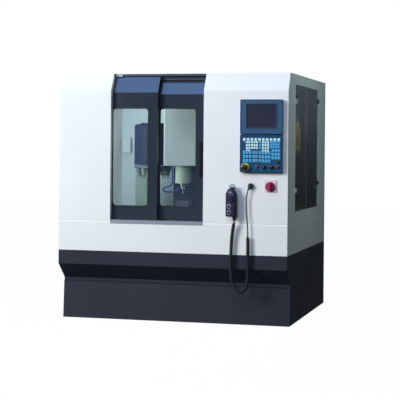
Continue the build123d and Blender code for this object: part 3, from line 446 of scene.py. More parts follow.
def build_pane(g, given):
    """Smoked sheet: paler towards its top, a painted reflection of the light above, and clearer towards its top, with
    the hinges' own colour outside the given face.
    """
    x, y, z = g.place()
    lift = g.remap(z, given["Low"], given["High"])
    # painted reflection: from the dark Second Colour at the bottom to the paler Colour at the top
    colour = g.mix(lift, given["Second Colour"], given["Colour"])
    strip = g.times(g.math("GREATER_THAN", y, PANE_STRIP[0]), g.math("LESS_THAN", y, PANE_STRIP[1]))
    colour = g.mix(g.times(strip, 0.3), colour, given["Strip Colour"])
    ends = g.math("MAXIMUM", g.math("LESS_THAN", y, HINGES[0]), g.math("GREATER_THAN", y, HINGES[1]))
    hinge = g.times(g.math("GREATER_THAN", x, given["Face"]), ends)
    cover = g.remap(lift, 0.0, 1.0, given["Low Cover"], given["Top Cover"])
    return {"Colour": g.mix(hinge, colour, given["Hinge Colour"]), "Cover": g.math("MAXIMUM", cover, hinge)}


def build_split(g, given):
    """One colour above the given height and a second one below it."""
    above = g.math("GREATER_THAN", g.place()[2], given["Height"])
    return {"Colour": g.mix(above, given["Below"], given["Colour"])}


WHITE = (1, 1, 1, 1)
TWO_COLOURS = {"Colour": WHITE, "Second Colour": WHITE}
ENAMEL = {
    **TWO_COLOURS, "Cloud Scale": 2.5, "Cloud Amount": 0.6, "Peel Scale": 420.0, "Peel": 0.12,
    "Speck": 0.0, "Soot Height": 0.1, "Soot": 0.0, "Roughness": 0.4,
}
GROUND = {**TWO_COLOURS, "Stretch": (1.0, 12.0, 12.0), "Oil": 0.3, "Roughness": 0.35}
MOULDED = {**TWO_COLOURS, "Grain Scale": 900.0, "Grain": 0.15, "Roughness": 0.45}
SEAM = {
    "Colour": WHITE, "Line": (0.02, 0.022, 0.028, 1), "Normal": (0.0, 0.0, 1.0),
    "Height": WHITE_SEAM, "Half Width": 0.0014, "Strength": 0.35, "Pale": 1.0,
}
PANE = {
    **TWO_COLOURS, "Strip Colour": WHITE, "Hinge Colour": WHITE,
    "Low": 0.75, "High": 1.62, "Face": 0.7985, "Low Cover": 0.88, "Top Cover": 0.47,
}
SPLIT = {"Colour": WHITE, "Below": (0, 0, 0, 1), "Height": DISC_EDGE}
SURFACE = ("Colour", "Roughness", "Normal")
EFFECTS = {
    "enamel": ("Sprayed Enamel", SURFACE, build_enamel, ENAMEL),
    "ground": ("Ground Metal", SURFACE, build_ground, GROUND),
    "moulded": ("Moulded Grain", SURFACE, build_moulded, MOULDED),
    "seam": ("Panel Seam", ("Colour", "Normal"), build_seam, SEAM),
    "pane": ("Smoked Pane", ("Colour", "Cover"), build_pane, PANE),
    "split": ("Rim And Tools", ("Colour",), build_split, SPLIT),
}

# ---- finishes ----

MADE = {}
# values of a finish that are plain numbers of its shader
PLAIN = {
    "gloss": "Specular IOR Level", "metallic": "Metallic", "alpha": "Alpha",
    "coat": "Coat Weight", "coat_roughness": "Coat Roughness",
}
# colour, second colour and own values of each finish; a colour given by name is one of the finish settings
ENAMELS = {
    "white_sheet": ("white", None, dict(peel=0.08, cloud_amount=0.35, gloss=0.15)),
    # the inner guards darken up to 1.1 m: painted shade on the lower walls
    "white_guard": ((184, 202, 210), None, dict(peel=0.1, soot=0.3, soot_height=1.1)),
    "dark_sheet": ("dark", (40, 45, 56), dict(
        peel=0.5, peel_scale=650, speck=0.4, roughness=0.55, soot=0.15, soot_height=0.06, gloss=0.12
    )),
    "door_sheet": ("door", (38, 45, 58), dict(roughness=0.16, gloss=1)),
    "window": ((96, 120, 128), (88, 110, 118), dict(peel=0.01, roughness=0.05, alpha=0.07, gloss=0.6)),
    "cabinet_sheet": ((214, 214, 206), None, dict(peel=0.1, roughness=0.45)),
    "casting": ((104, 124, 118), (95, 114, 109), dict(peel=0.35, peel_scale=220, roughness=0.5, gloss=0.25)),
    "head_sheet": ((146, 160, 163), (138, 152, 155), dict(peel=0.08, gloss=0.3)),
    "head_enamel": ((150, 168, 154), None, dict(peel=0.3, peel_scale=220, roughness=0.45, gloss=0.3)),
    "lintel_enamel": ((66, 76, 96), None, dict(peel=0.1, gloss=0.15)),
    "rim_and_tools": ((66, 73, 90), None, dict(peel=0.05, roughness=0.45, gloss=0.2)),
    "drum_sheet": ((24, 31, 55), (19, 24, 45), dict(roughness=0.5, gloss=0.08)),
    "tank_sheet": ((126, 130, 130), None, dict(peel=0.15, roughness=0.5, soot=0.4, soot_height=0.12)),
    "unit_sheet": ((46, 88, 126), (39, 77, 114), dict(peel=0.4, peel_scale=800, speck=0.3, roughness=0.42, gloss=0.35)),
    "hook_steel": ((172, 178, 188), None, dict(peel=0.1)),
}
METALS = {
    "sill_sheet": ((150, 162, 178), (128, 140, 158), dict(stretch=(0.5, 20, 20), roughness=0.4, metallic=0.3)),
    "ground_iron": ((158, 162, 162), (126, 130, 130), dict(stretch=(1, 10, 1), roughness=0.42, metallic=1)),
    "bright_steel": ((206, 208, 210), (168, 172, 176), dict(stretch=(1, 1, 12), roughness=0.26, oil=0.1, metallic=1)),
    "vise_steel": ((92, 98, 122), (76, 81, 103), dict(stretch=(14, 1, 14), roughness=0.45, metallic=1)),
}
PLASTICS = {
    "handle_plastic": ((10, 14, 28), None, dict(roughness=0.5, gloss=0.15)),
    "hose_plastic": ((44, 64, 150), None, dict(roughness=0.35)),
    "bellows_fabric": ((50, 55, 84), (42, 46, 72), dict(grain_scale=1500, grain=0.5, roughness=0.7, gloss=0.15)),
    "lubricator_plastic": ((206, 192, 96), (184, 168, 76), dict(grain=0.05, roughness=0.3)),
    "lamp_body": ((236, 238, 238), None, dict(grain=0.05, roughness=0.3)),
    "keyboard_film": ((16, 74, 110), (13, 64, 98), dict(grain=0.2, gloss=0.25)),
    "screen_glass": ((50, 54, 76), (52, 50, 66), dict(grain=0, roughness=0.08, coat=0.5, coat_roughness=0.03)),
    "stop_red": ((52, 22, 40), (43, 18, 34), dict(grain=0.05, roughness=0.28)),
    "knob_plastic": ((14, 15, 24), None, dict(roughness=0.34)),
    "button_red": ((96, 30, 48), None, dict(grain=0.05, roughness=0.3)),
    "button_green": ((24, 60, 46), None, dict(grain=0.05, roughness=0.3)),
    "plate_pale": ((240, 212, 220), None, dict(grain=0.1, roughness=0.4)),
    "switch_red": ((176, 42, 98), (158, 38, 90), dict(grain=0.08, roughness=0.3)),
    "pendant_plastic": ((20, 22, 48), (16, 18, 40), dict(grain=0.4, grain_scale=1100, gloss=0.2)),
    "wheel_plastic": ((24, 28, 58), None, dict(roughness=0.4, gloss=0.2)),
    "gland_plastic": ((34, 40, 54), None, dict(grain=0.2, roughness=0.42)),
    "cord_rubber": ((26, 30, 48), (20, 23, 38), dict(grain=0.3, grain_scale=1400, roughness=0.5)),
}
FINISHES = {"enamel": ENAMELS, "ground": METALS, "moulded": PLASTICS}


def finish(name, effect, colour, second=None, seam=None, below=None, **values):
    """A material: an effect group into a Principled shader, whose plain values are set on the shader itself."""
    if name in MADE:
        return MADE[name]
    MADE[name], g = new_material(name + "_finish")
    MADE[name].diffuse_color = (*colour, 1)
    second = second or tuple(v * 0.86 for v in colour)
    plain = {PLAIN[key]: values.pop(key) for key in list(values) if key in PLAIN}
    own = {key.replace("_", " ").title(): value for key, value in values.items()}
    e = g.effect(effect, {"Colour": (*colour, 1), "Second Colour": (*second, 1), **own})
    colour_out, normal = e["Colour"], e["Normal"]
    if seam:
        s = g.effect("seam", {"Colour": colour_out, "Normal": normal, **seam})
        colour_out, normal = s["Colour"], s["Normal"]
    if below:
        colour_out = g.effect("split", {"Colour": colour_out, "Below": (*below, 1)})["Colour"]
    g.surface({"Base Color": colour_out, "Roughness": e["Roughness"], "Normal": normal, **plain})
    return MADE[name]


def slot_finish(slot, name=None, **extra):
    """The finish of a material slot, under a name of its own where one piece has something extra."""
    effect = next(kind for kind, rows in FINISHES.items() if slot in rows)
    colour, second, values = FINISHES[effect][slot]
    settings = bpy.context.scene.machine_finish
    colour = tuple(getattr(settings, colour)) if isinstance(colour, str) else srgb(*colour)
    return finish(name or slot, effect, colour, second and srgb(*second), **values, **extra)


def trim(name, colour, roughness=0.4, effect="moulded", **values):
    """The finish of a small piece that only the scene draws."""
    if effect == "moulded":
        values["grain"] = 0.06
    return finish(name, effect, srgb(*colour), roughness=roughness, **values)


def pointer_white():
    """The white of the pointers and the dial marks."""
    return trim("pointer_white", (228, 230, 232))


def pane_finish():
    """The smoked side panes: a see-through sheet in a gloss shader, with solid hinges."""
    name = "smoked_pane"
    if name in MADE:
        return MADE[name]
    MADE[name], g = new_material(name + "_finish")
    MADE[name].diffuse_color = (0.03, 0.035, 0.04, 1)
    # the pale top colour and the dark bottom colour paint the reflection of the light from above
    colours = {"Colour": (150, 154, 164), "Second Colour": (52, 55, 58)}
    colours |= {"Strip Colour": (172, 182, 184), "Hinge Colour": (70, 76, 80)}
    e = g.effect("pane", {key: (*srgb(*colour), 1) for key, colour in colours.items()})
    g.surface({"Base Color": e["Colour"], "Alpha": e["Cover"], "Roughness": 0.15, PLAIN["gloss"]: 0.1})
    return MADE[name]


# ---- settings ----

COLOUR = {"subtype": "COLOR", "min": 0, "max": 1}
LENGTH = {"subtype": "DISTANCE", "unit": "LENGTH"}
POWER = {"unit": "POWER", "min": 0}


class FinishSettings(bpy.types.PropertyGroup):
    white: bpy.props.FloatVectorProperty(
        name="White Enamel", description="Colour of the white sheets", default=srgb(240, 243, 244), **COLOUR
    )
    dark: bpy.props.FloatVectorProperty(
        name="Dark Enamel", description="Colour of the base and the lower band", default=srgb(49, 54, 67), **COLOUR
    )
    door: bpy.props.FloatVectorProperty(
        name="Door Enamel", description="Colour of the sliding doors", default=srgb(45, 54, 67), **COLOUR
    )


class CordSettings(bpy.types.PropertyGroup):
    wire: bpy.props.FloatProperty(
        name="Wire", description="Diameter of the cord", default=0.0080, min=0.003, max=0.0092, **LENGTH
    )
    coil: bpy.props.FloatProperty(
        name="Coil Radius", description="Middle radius of the curly part",
        default=0.0088, min=0.005, max=0.0094, **LENGTH
    )
    pitch: bpy.props.FloatProperty(
        name="Pitch", description="Distance from turn to turn", default=0.0092, min=0.0071, max=0.03, **LENGTH
    )


class TrimSettings(bpy.types.PropertyGroup):
    seal: bpy.props.FloatProperty(
        name="Window Seal", description="Width of the rubber bead round each window",
        default=0.006, min=0.002, max=0.012, **LENGTH
    )
    key_height: bpy.props.FloatProperty(
        name="Key Height", description="How far a key stands out of the film",
        default=0.0012, min=0.0004, max=0.003, **LENGTH
    )


class StageSettings(bpy.types.PropertyGroup):
    key_power: bpy.props.FloatProperty(
        name="Key Light", description="Power of the large lamp on the left", default=580.0, **POWER
    )
    fill_power: bpy.props.FloatProperty(
        name="Fill Light", description="Power of the lamp above the right side", default=8.6, **POWER
    )
    cool_power: bpy.props.FloatProperty(
        name="Cool Light", description="Power of the cool lamp before the operator's place", default=190.0, **POWER
    )
    sky_power: bpy.props.FloatProperty(
        name="Sky Light", description="Power of the blue lamp that the leaning tops of the doors reflect",
        default=23.0, **POWER
    )
    inner_power: bpy.props.FloatProperty(
        name="Inner Light", description="Power of the lamp just inside the doors", default=8.5, **POWER
    )
    side_power: bpy.props.FloatProperty(
        name="Side Light", description="Power of the small lamp behind the smoked panes", default=0.5, **POWER
    )
    around: bpy.props.FloatProperty(
        name="Surroundings", description="Strength of the plain light from all round",
        subtype="FACTOR", default=0.03, min=0, max=1
    )


# ---- operators ----

WHITE_PANELS = ["white_apron", "rear_panel"]
WHITE_PANELS += [f"{side}_{face}_panel" for side in ("left", "right") for face in ("front", "side")]


class MACHINE_OT_finishes(bpy.types.Operator):
    """Gives every CAD node the finish of its material slot"""

    bl_idname = "machine.finishes"
    bl_label = "Finishes"

    def execute(self, context):
        # the dark line at the top of the base skirt marks the joint under the lower band and is painted as the shadow
        # in its gap
        base_gap_shadow = {
            "Height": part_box("base_skirt")[1].z - 0.0030, "Half Width": 0.0036, "Line": (*srgb(26, 30, 46), 1),
            "Strength": 1.0, "Pale": 0.0,
        }
        # the white sheets' seam carries a painted highlight in the band under its line
        white = slot_finish("white_sheet", "white_sheet_seamed", seam={"Height": WHITE_SEAM})
        own = dict.fromkeys(WHITE_PANELS, white)
        own["base_skirt"] = slot_finish("dark_sheet", "base_skirt_sheet", seam=base_gap_shadow)
        own["side_door_front"] = own["side_door_rear"] = pane_finish()
        own["head_casting"] = slot_finish("head_enamel")
        own["door_lintel"] = slot_finish("lintel_enamel")
        own["magazine_disc"] = slot_finish("rim_and_tools", below=srgb(92, 106, 108))
        slots = {p["node"]: p["material_slot"] for p in frame["record"]["subparts"]}
        for node, obj in frame["nodes"].items():
            obj.data.materials.clear()
            obj.data.materials.append(own.get(node) or slot_finish(slots[node]))
        return {"FINISHED"}


class MACHINE_OT_door_trim(bpy.types.Operator):
    """Adds the rubber beads round the windows and the handle of the sliding doors"""

    bl_idname = "machine.door_trim"
    bl_label = "Door Trim"

    def execute(self, context):
        wide = 1000 * context.scene.machine_trim.seal
        rubber = trim("seal_rubber", (20, 21, 24), 0.5)
        seal = [(2, -1.5), (1, -9.5), (-2, -10.5), (-wide * 0.8, -4), (-wide, 0.5), (0, 0.5)]
        for side in ("left", "right"):
            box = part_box(f"{side}_door_window")
            bead = frame_bead(box, box[0].y, r=0.028, section=seal, inset=0.0075)
            piece(f"{side}_window_seal", [bead], "handle_plastic", rubber, f"{side}_door")
        low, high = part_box("door_handle")
        x, face = middle("door_handle")[0], low.y
        z = np.linspace(0, 1, 40)[:, None]
        taper = np.minimum(1, np.sqrt(1 - np.clip(np.abs(2 * z - 1) - 0.86, 0, 0.14) ** 2 / 0.0197))
        width = 0.0135 * taper * (0.86 + 0.14 * np.sin(np.pi * np.clip(z * 1.3, 0, 1)))
        a = ring(28)
        squared = 0.55  # below 1, the power makes the grip's round section squarer
        across = x + width * signed_power(np.cos(a), squared)
        ahead = face + 0.0085 + 0.0082 * taper * signed_power(np.sin(a), squared)
        grip = skin(np.stack([across, ahead, (low.z + z * (high.z - low.z)) * np.ones(28)], -1))
        post = [(8.8, 0), (8.8, 24), (12, 27.5), (12, 28.5)]
        posts = [turned(post, (x, face + 0.0150, h), 32, BACKWARD) for h in (low.z + 0.030, high.z - 0.030)]
        piece("door_handle_grip", [grip, *posts], "handle_plastic", body="right_door", stands_for=("door_handle",))
        return {"FINISHED"}


# fields of keys: kind, width and height in millimetres, middle heights and middle places across
KEYS = (
    ("pale", 16, 17, (1.2437,), [0.5115 + 0.02578 * k for k in range(10)]),
    ("pale", 11.8, 13.5, (1.2256, 1.2059, 1.1881), (0.5293, 0.5456, 0.5638, 0.5808, 0.5976)),
    ("pale", 11.8, 13.5, (1.1689,), (0.5293, 0.5456)),
    ("pale", 12, 14, (1.2250, 1.2066, 1.1882, 1.1698), (0.6373, 0.6548, 0.6723)),
    ("blue", 11.5, 14, (1.2260, 1.2063, 1.1885), (0.6177,)),
    ("blue", 13, 13, (1.2290, 1.2115, 1.1940), (0.6930, 0.7095, 0.7260, 0.7425)),
    ("blue", 14.5, 19, (1.1580, 1.1310, 1.1040), (0.5118, 0.5308, 0.5524)),
    ("blue", 15, 19, (1.1554, 1.1290, 1.1027), (0.6393, 0.6601, 0.6796)),
    ("blue", 15, 18, (1.1711, 1.1468, 1.1232), (0.7036, 0.7243, 0.7438)),
    ("olive", 15, 19, (1.1586, 1.1316, 1.1046), (0.5767, 0.5948, 0.6185)),
    ("magenta", 12, 12, (1.2235,), (0.5122,)),
)
# colour of each kind of key, and how many millimetres wider and higher it is made
KEY_KINDS = {
    "pale": ((208, 246, 255), 0.8),
    "blue": ((70, 172, 230), 1.4),
    "olive": ((84, 160, 202), 1.4),
    "magenta": ((112, 48, 120), 0),
}


class MACHINE_OT_keyboard(bpy.types.Operator):
    """Adds the keys, the soft keys and the frames of the operator station"""

    bl_idname = "machine.keyboard"
    bl_label = "Keyboard"

    def execute(self, context):
        back, front = UNIT_FACE + 0.0002, UNIT_FACE - context.scene.machine_trim.key_height
        shapes, finishes = [], []
        for kind, wide, high, heights, across in KEYS:
            colour, grow = KEY_KINDS[kind]
            w, h = (wide + grow) / 2000, (high + grow) / 2000
            shapes += [pad(x - w, x + w, z - h, z + h, back, front, 0.0022, 0.0005) for z in heights for x in across]
            finishes += [trim(f"key_{kind}", colour, 0.42)] * len(heights) * len(across)
        piece("keyboard_keys", shapes, "keyboard_film", finishes)
        rim = [(0, 4), (0, -1.5), (-1.5, -3), (-5, -3), (-6.5, -1.5), (-6.5, 0.2)]
        piece("display_rim", [frame_bead(UNIT_BOX, UNIT_FACE, 0.006, rim)], "unit_sheet")
        piece("keyboard_rim", [frame_bead(KEY_BOX, UNIT_FACE, 0.006, rim)], "keyboard_film")
        # painted shadow: a dark plate across the gap between the display and the keyboard stands for the shade where
        # the two units meet
        x0, x1 = UNIT_BOX[0].x + 0.003, UNIT_BOX[1].x - 0.003
        z0, z1 = KEY_BOX[1].z - 0.006, UNIT_BOX[0].z + 0.006
        bridge = pad(x0, x1, z0, z1, FRONT - 0.0006, FRONT - 0.020, 0.003, 0.0005)
        piece("station_bridge", [bridge], "keyboard_film", trim("bridge_dark", (24, 44, 60), 0.5))
        lip = [(0.6, 3), (0.6, -1.6), (3, -2.2), (8.5, -1.6), (10, 0.2), (10, 1)]
        lip = frame_bead(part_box("display_screen"), UNIT_FACE, 0.0026, lip)
        piece("screen_lip", [lip], "unit_sheet", trim("screen_lip_plastic", (40, 62, 92), 0.38))
        return {"FINISHED"}


# profiles of the turned controls: radius and distance out of the face
STOP_CAP = [(11, -8), (11, 19.5), (15, 20), (20.5, 21.5), (22, 24), (22, 27.5)]
STOP_CAP += [(20.5, 30.5), (16.5, 32.5), (10, 33.6), (3, 34)]
STOP_COLLAR = [(21.5, 3), (28, 3), (28, 4.6), (27, 5.2), (22.5, 5.2), (21.5, 4.6)]
KNOB = [(6, -9), (6, 1), (14, 1.2), (14.2, 4), (12.2, 5.2), (11.2, 17), (10.4, 19.6), (6, 20)]
BUTTON = [(10, -4), (10, 4.8), (9.4, 5.8), (8, 6), (2, 5.4)]
BUTTON_RING = [(10.6, 0), (10.6, 3), (11.4, 3.8), (12.8, 3.6), (13.6, 0)]
LAMP_CAP = [(8, 5.8), (8.6, 6.6), (7.8, 9.2), (5, 10.6), (1.5, 11)]
SWITCH_RIM = [(8, 2), (8, 7), (30, 7.2), (31.8, 8.5), (31.8, 15), (30, 18), (26.2, 18.4), (25, 17)]
SWITCH_FACE = [(25.2, 16), (25.2, 17), (24, 18.6), (6, 19)]
WHEEL = [(6, -8), (6, 1.2), (26.2, 1.4), (28, 3), (28, 9.5), (26.2, 11.5), (22.5, 11.8)]
WHEEL += [(20.5, 8.5), (9, 8.5), (7, 11.5), (2, 11.8)]
WHEEL_SCALE = [(28.6, 0.2), (28.6, 1.4), (32.5, 1.4), (32.5, 0.2)]
CRANK = [(3.5, 10), (3.5, 12.5), (5.8, 14), (6, 20), (5, 25), (2, 26)]
SELECTOR = [(5, -8), (5, 1.2), (10, 1.3), (10, 3.2), (8, 4.8), (7.4, 13), (5, 14.2), (1.5, 14.3)]
DIAL = [(10.6, 0.2), (10.6, 1.2), (15.8, 1.2), (15.8, 0.2)]
EYE = [(10, -6), (10, 4.5), (8.8, 6), (3, 6)]
GLAND_NUT = [(19.5, 0), (21, 1.5), (21, 10.5), (19.5, 12)]
GLAND_DOME = [(15, 10), (15, 22), (13.5, 26.5), (10, 29.5), (2, 30)]
SCREW = [(3.2, -0.2), (3.2, 0.8), (2.6, 1.4), (1.6, 1.4), (1.3, 0.6), (0.4, 0.6)]


class MACHINE_OT_controls(bpy.types.Operator):
    """Adds the emergency stop, the rotary knobs and the push buttons"""

    bl_idname = "machine.controls"
    bl_label = "Controls"

    def execute(self, context):
        x, z = middle("emergency_stop")
        cap = turned(STOP_CAP, (x, UNIT_FACE, z), 48)
        piece("emergency_stop_cap", [cap], "stop_red", body="emergency_stop", stands_for=("emergency_stop",))
        aside = np.clip((np.array(STOP_COLLAR)[:, :1] - 23.5) / 6.5, 0, 1) * 0.005
        collar = flat_ring(STOP_COLLAR, x, UNIT_FACE, z, 48, aside)
        piece("stop_collar", [collar], "stop_red", trim("collar_yellow", (168, 190, 70)))
        for node in ("feed_knob", "spindle_knob"):
            x, z = middle(node)
            knob = turned(KNOB, (x, UNIT_FACE, z), 72, flutes=18, depth=0.0010)
            line = (x - 0.0010, x + 0.0010, z + 0.001, z + 0.0098)
            pointer = pad(*line, UNIT_FACE - 0.0190, UNIT_FACE - 0.0206, 0.0006, 0.0003)
            finishes = [slot_finish("knob_plastic"), pointer_white()]
            piece(f"{node}_cap", [knob, pointer], "knob_plastic", finishes, node, (node,))
            marks = []
            for t in np.radians(np.linspace(-135, 135, 10)):
                u, w = x + 0.0205 * np.sin(t), z + 0.0205 * np.cos(t)
                mark = (u - 0.0008, u + 0.0008, w - 0.0012, w + 0.0012)
                marks.append(pad(*mark, UNIT_FACE + 0.0001, UNIT_FACE - 0.0004, 0.0004, 0.0002, 2))
            piece(f"{node}_marks", marks, "keyboard_film", pointer_white())
        for node, slot in (("stop_button", "button_red"), ("start_button", "button_green")):
            x, z = middle(node)
            button = turned(BUTTON, (x, UNIT_FACE, z), 40)
            piece(f"{node}_cap", [button], slot, body=node, stands_for=(node,))
            bezel = flat_ring(BUTTON_RING, x, UNIT_FACE + 0.0002, z, 48)
            metal = trim("ring_metal", (120, 124, 128), 0.3, "ground", metallic=1.0)
            piece(f"{node}_ring", [bezel], "keyboard_film", metal)
        x, z = WARNING_LAMP
        lamp = turned(LAMP_CAP, (x, UNIT_FACE, z), 32)
        piece("warning_lamp", [lamp], "button_red", trim("lamp_red", (140, 58, 96), 0.25))
        return {"FINISHED"}


class MACHINE_OT_main_switch(bpy.types.Operator):
    """Adds the main switch's round knob with its grip"""

    bl_idname = "machine.main_switch"
    bl_label = "Main Switch"

    def execute(self, context):
        node, red = "main_switch_knob", slot_finish("switch_red")
        x, z = middle(node)
        rim, face = (turned(profile, (x, FRONT, z), 56) for profile in (SWITCH_RIM, SWITCH_FACE))
        grip = soft_block((x, FRONT - 0.0265, z), (0.0058, 0.0105, 0.0270), power=5.0, count=40, rows=22)
        finishes = [trim("switch_rim", (98, 14, 54), 0.35), red, red]
        piece("main_switch_grip", [rim, face, grip], "switch_red", finishes, node, (node,))
        return {"FINISHED"}


class MACHINE_OT_pendant(bpy.types.Operator):
    """Adds the hand pendant's moulded shell, handwheel, selectors and label"""

    bl_idname = "machine.pendant"
    bl_label = "Pendant"

    def execute(self, context):
        face = PENDANT_FACE
        corners = [(0.016, 0.918), (-0.016, 0.918), (-0.0355, 0.884), (-0.0355, 0.731)]
        corners += [(0.0355, 0.731), (0.0355, 0.884)]
        outline = rounded_polygon(corners, (0.006, 0.006, 0.008, 0.013, 0.012, 0.008), 7)
        shell = plate(outline, 0.014, face, 0.005, 0.010, 6)
        eye = turned(EYE, (0, 0, 0.918), 28, UP)
        k = np.arange(12)
        ribs = np.stack([12.2 - 2 * k / 11 - k // 2 % 2, 1 - 2.4 * k], -1)
        relief = turned([*ribs, (4.6, -27)], (RELIEF_X, 0, 0.731), 24, UP)
        piece("pendant_shell", on_pendant(shell, eye, relief), "pendant_plastic", stands_for=("pendant_housing",))
        corners = [(0.013, 0.911), (-0.013, 0.911), (-0.03, 0.8815), (-0.03, 0.739), (0.03, 0.739), (0.03, 0.8815)]
        outline = rounded_polygon(corners, 0.004)
        film = plate(outline, face + 0.0004, face - 0.0006, 0.0003)
        label = pad(-0.012, 0.012, 0.8890, 0.8960, face - 0.0004, face - 0.0010, 0.0015, 0.0002)
        finishes = [trim("pendant_film", (27, 32, 68), 0.45, gloss=0.2), trim("label_grey", (120, 122, 158))]
        piece("pendant_plate", on_pendant(film, label), "pendant_plastic", finishes)
        wheel = turned(WHEEL, (0, face, WHEEL_HEIGHT), 96, flutes=48, depth=0.0006)
        crank = turned(CRANK, (0.014, face, WHEEL_HEIGHT + 0.010), 24)
        rubber, node = slot_finish("wheel_plastic"), "pendant_wheel"
        finishes = [rubber, trim("crank_black", (18, 19, 30), 0.3)]
        piece("pendant_wheel_rim", on_pendant(wheel, crank), "wheel_plastic", finishes, node, (node,))
        scale = flat_ring(WHEEL_SCALE, 0, face, WHEEL_HEIGHT, 64)
        piece("pendant_wheel_scale", on_pendant(scale), "wheel_plastic", trim("scale_grey", (60, 64, 104), 0.45))
        x = SELECTOR_X
        for node, z in SELECTORS.items():
            knob = turned(SELECTOR, (x, face, z), 48, flutes=12, depth=0.0007)
            line = (x - 0.0007, x + 0.0007, z + 0.001, z + 0.0075)
            pointer = pad(*line, face - 0.0138, face - 0.0158, 0.0004, 0.0002)
            piece(f"{node}_cap", on_pendant(knob, pointer), "wheel_plastic", [rubber, pointer_white()], node, (node,))
            dial = flat_ring(DIAL, x, face, z, 64)
            piece(f"{node}_dial", on_pendant(dial), "wheel_plastic", trim("dial_grey", (134, 142, 178)))
        return {"FINISHED"}


class MACHINE_OT_cord(bpy.types.Operator):
    """Adds the cable gland and the pendant's cord with its curly middle"""

    bl_idname = "machine.cord"
    bl_label = "Pendant Cord"

    def execute(self, context):
        c, y = context.scene.machine_cord, CORD_Y
        sx, cz = np.sin(GLAND_LEAN), np.cos(GLAND_LEAN)
        lead_x, lead_z = GLAND[0] - 0.006 - 0.015 * sx, GLAND[1] - 0.012 - 0.015 * cz
        top = [(lead_x, y, lead_z), (lead_x - 0.045 * sx, y, lead_z - 0.045 * cz), (0.538, y, 0.660)]
        tail_x = PENDANT_AT[0] + RELIEF_X * np.cos(PENDANT_TURN)
        tail_y = PENDANT_AT[1] + RELIEF_X * np.sin(PENDANT_TURN)
        down = [(0.5385, y, 0.606), (0.5430, y, 0.320), (0.5330, y, 0.262), (0.4930, y, 0.2250)]
        up = [(0.4440, y, 0.2680), (0.4240, y, 0.340), (0.4265, y, 0.560), (0.4390, y - 0.004, 0.655)]
        curls = curly(route_points([*down, *up, (tail_x, tail_y, 0.697)]), c.coil, c.pitch)
        points = np.concatenate([top, curls, [(tail_x, tail_y, 0.7065)]])
        obj = nurbs("pendant_cord", points, 2)
        obj.data.bevel_depth = c.wire / 2
        obj.data.bevel_resolution = 2
        obj.data.use_fill_caps = True
        obj.data.materials.append(slot_finish("cord_rubber"))
        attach(obj, "housing")
        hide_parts("pendant_lead", "pendant_coil")
        place = (GLAND[0], FRONT, GLAND[1])
        nut, dome = turned(GLAND_NUT, place, 6), turned(GLAND_DOME, place, 36)
        start = np.array([GLAND[0] - 0.0015, y, GLAND[1] - 0.003])
        way = np.array(top[0]) - start
        u = np.linspace(0, 1, 12)
        sleeve = np.stack([8.2 - 2.6 * np.clip(u * 1.6 - 0.5, 0, 1), 1000 * np.linalg.norm(way) * u], -1)
        arm = turned(sleeve, start, 24, way)
        piece("gland_body", [nut, dome, arm], "gland_plastic", stands_for=("cable_gland",), crease=30.0)
        return {"FINISHED"}


def nurbs(name, points, resolution):
    """A curve with one NURBS spline of order 3 through a route's control points."""
    curve = bpy.data.curves.new(name, "CURVE")
    curve.dimensions = "3D"
    curve.resolution_u = resolution
    sp = curve.splines.new("NURBS")
    sp.points.add(len(points) - 1)
    sp.points.foreach_set("co", np.concatenate([points, np.ones((len(points), 1))], 1).ravel())
    sp.order_u = 3
    sp.use_endpoint_u = True
    return new_object(name, curve)


def route_points(points):
    """Points read from a route's own smooth spline."""
    obj = nurbs("route", points, 40)
    bpy.context.view_layer.update()
    mesh = bpy.data.meshes.new_from_object(obj)
    co = np.empty((len(mesh.vertices), 3))
    mesh.vertices.foreach_get("co", co.ravel())
    bpy.data.curves.remove(obj.data)
    bpy.data.meshes.remove(mesh)
    return co[np.concatenate([[True], np.linalg.norm(np.diff(co, axis=0), axis=1) > 1e-7])]


def curly(line, radius, pitch):
    """A winding round a line of points: p(s) + r(s) (cos(angle) side + sin(angle) across).

    The radius eases in and out over the line's first and last 20 mm.
    """
    s = np.concatenate([[0], np.cumsum(np.linalg.norm(np.diff(line, axis=0), axis=1))])
    at = np.linspace(0, s[-1], int(round(s[-1] / pitch)) * TURN_POINTS + 1)
    p = np.stack([np.interp(at, s, line[:, k]) for k in range(3)], -1)
    t = np.gradient(p, axis=0)
    t /= np.linalg.norm(t, axis=1)[:, None]
    side = np.array([0.0, 1.0, 0.0])
    across = np.cross(t, side)
    ease = np.clip(np.minimum(at, s[-1] - at) / 0.02, 0, 1)
    r = radius * ease * ease * (3 - 2 * ease)
    a = np.arange(len(at)) * TAU / TURN_POINTS
    return p + r[:, None] * (np.cos(a)[:, None] * side + np.sin(a)[:, None] * across)


SCREW_PLACES = [(x, z) for x, top in ((0.4925, 1.2625), (0.6280, 1.2650)) for z in (top, 1.0360)]
SCREW_PLACES += [(0.7550, 1.2625), (0.7550, 1.1479)]
SCREW_PLACES += [(x, z) for x in (0.4925, 0.7545) for z in (1.2915, 1.4985)]


class MACHINE_OT_fasteners(bpy.types.Operator):
    """Adds the small screws of the operator station and the lintel's corner plate"""

    bl_idname = "machine.fasteners"
    bl_label = "Fasteners"

    def execute(self, context):
        steel = trim("screw_steel", (150, 154, 160), 0.35, "ground", metallic=1.0)
        screws = [turned(SCREW, (x, UNIT_FACE - 0.0001, z), 16) for x, z in SCREW_PLACES]
        piece("station_screws", screws, "unit_sheet", steel)
        corner = pad(-0.4265, -0.3775, 1.6680, 1.6898, FRONT + 0.1000, FRONT + 0.0930, 0.002, 0.0006)
        piece("lintel_plate", [corner], "hook_steel", trim("plate_grey", (178, 184, 190)))
        return {"FINISHED"}


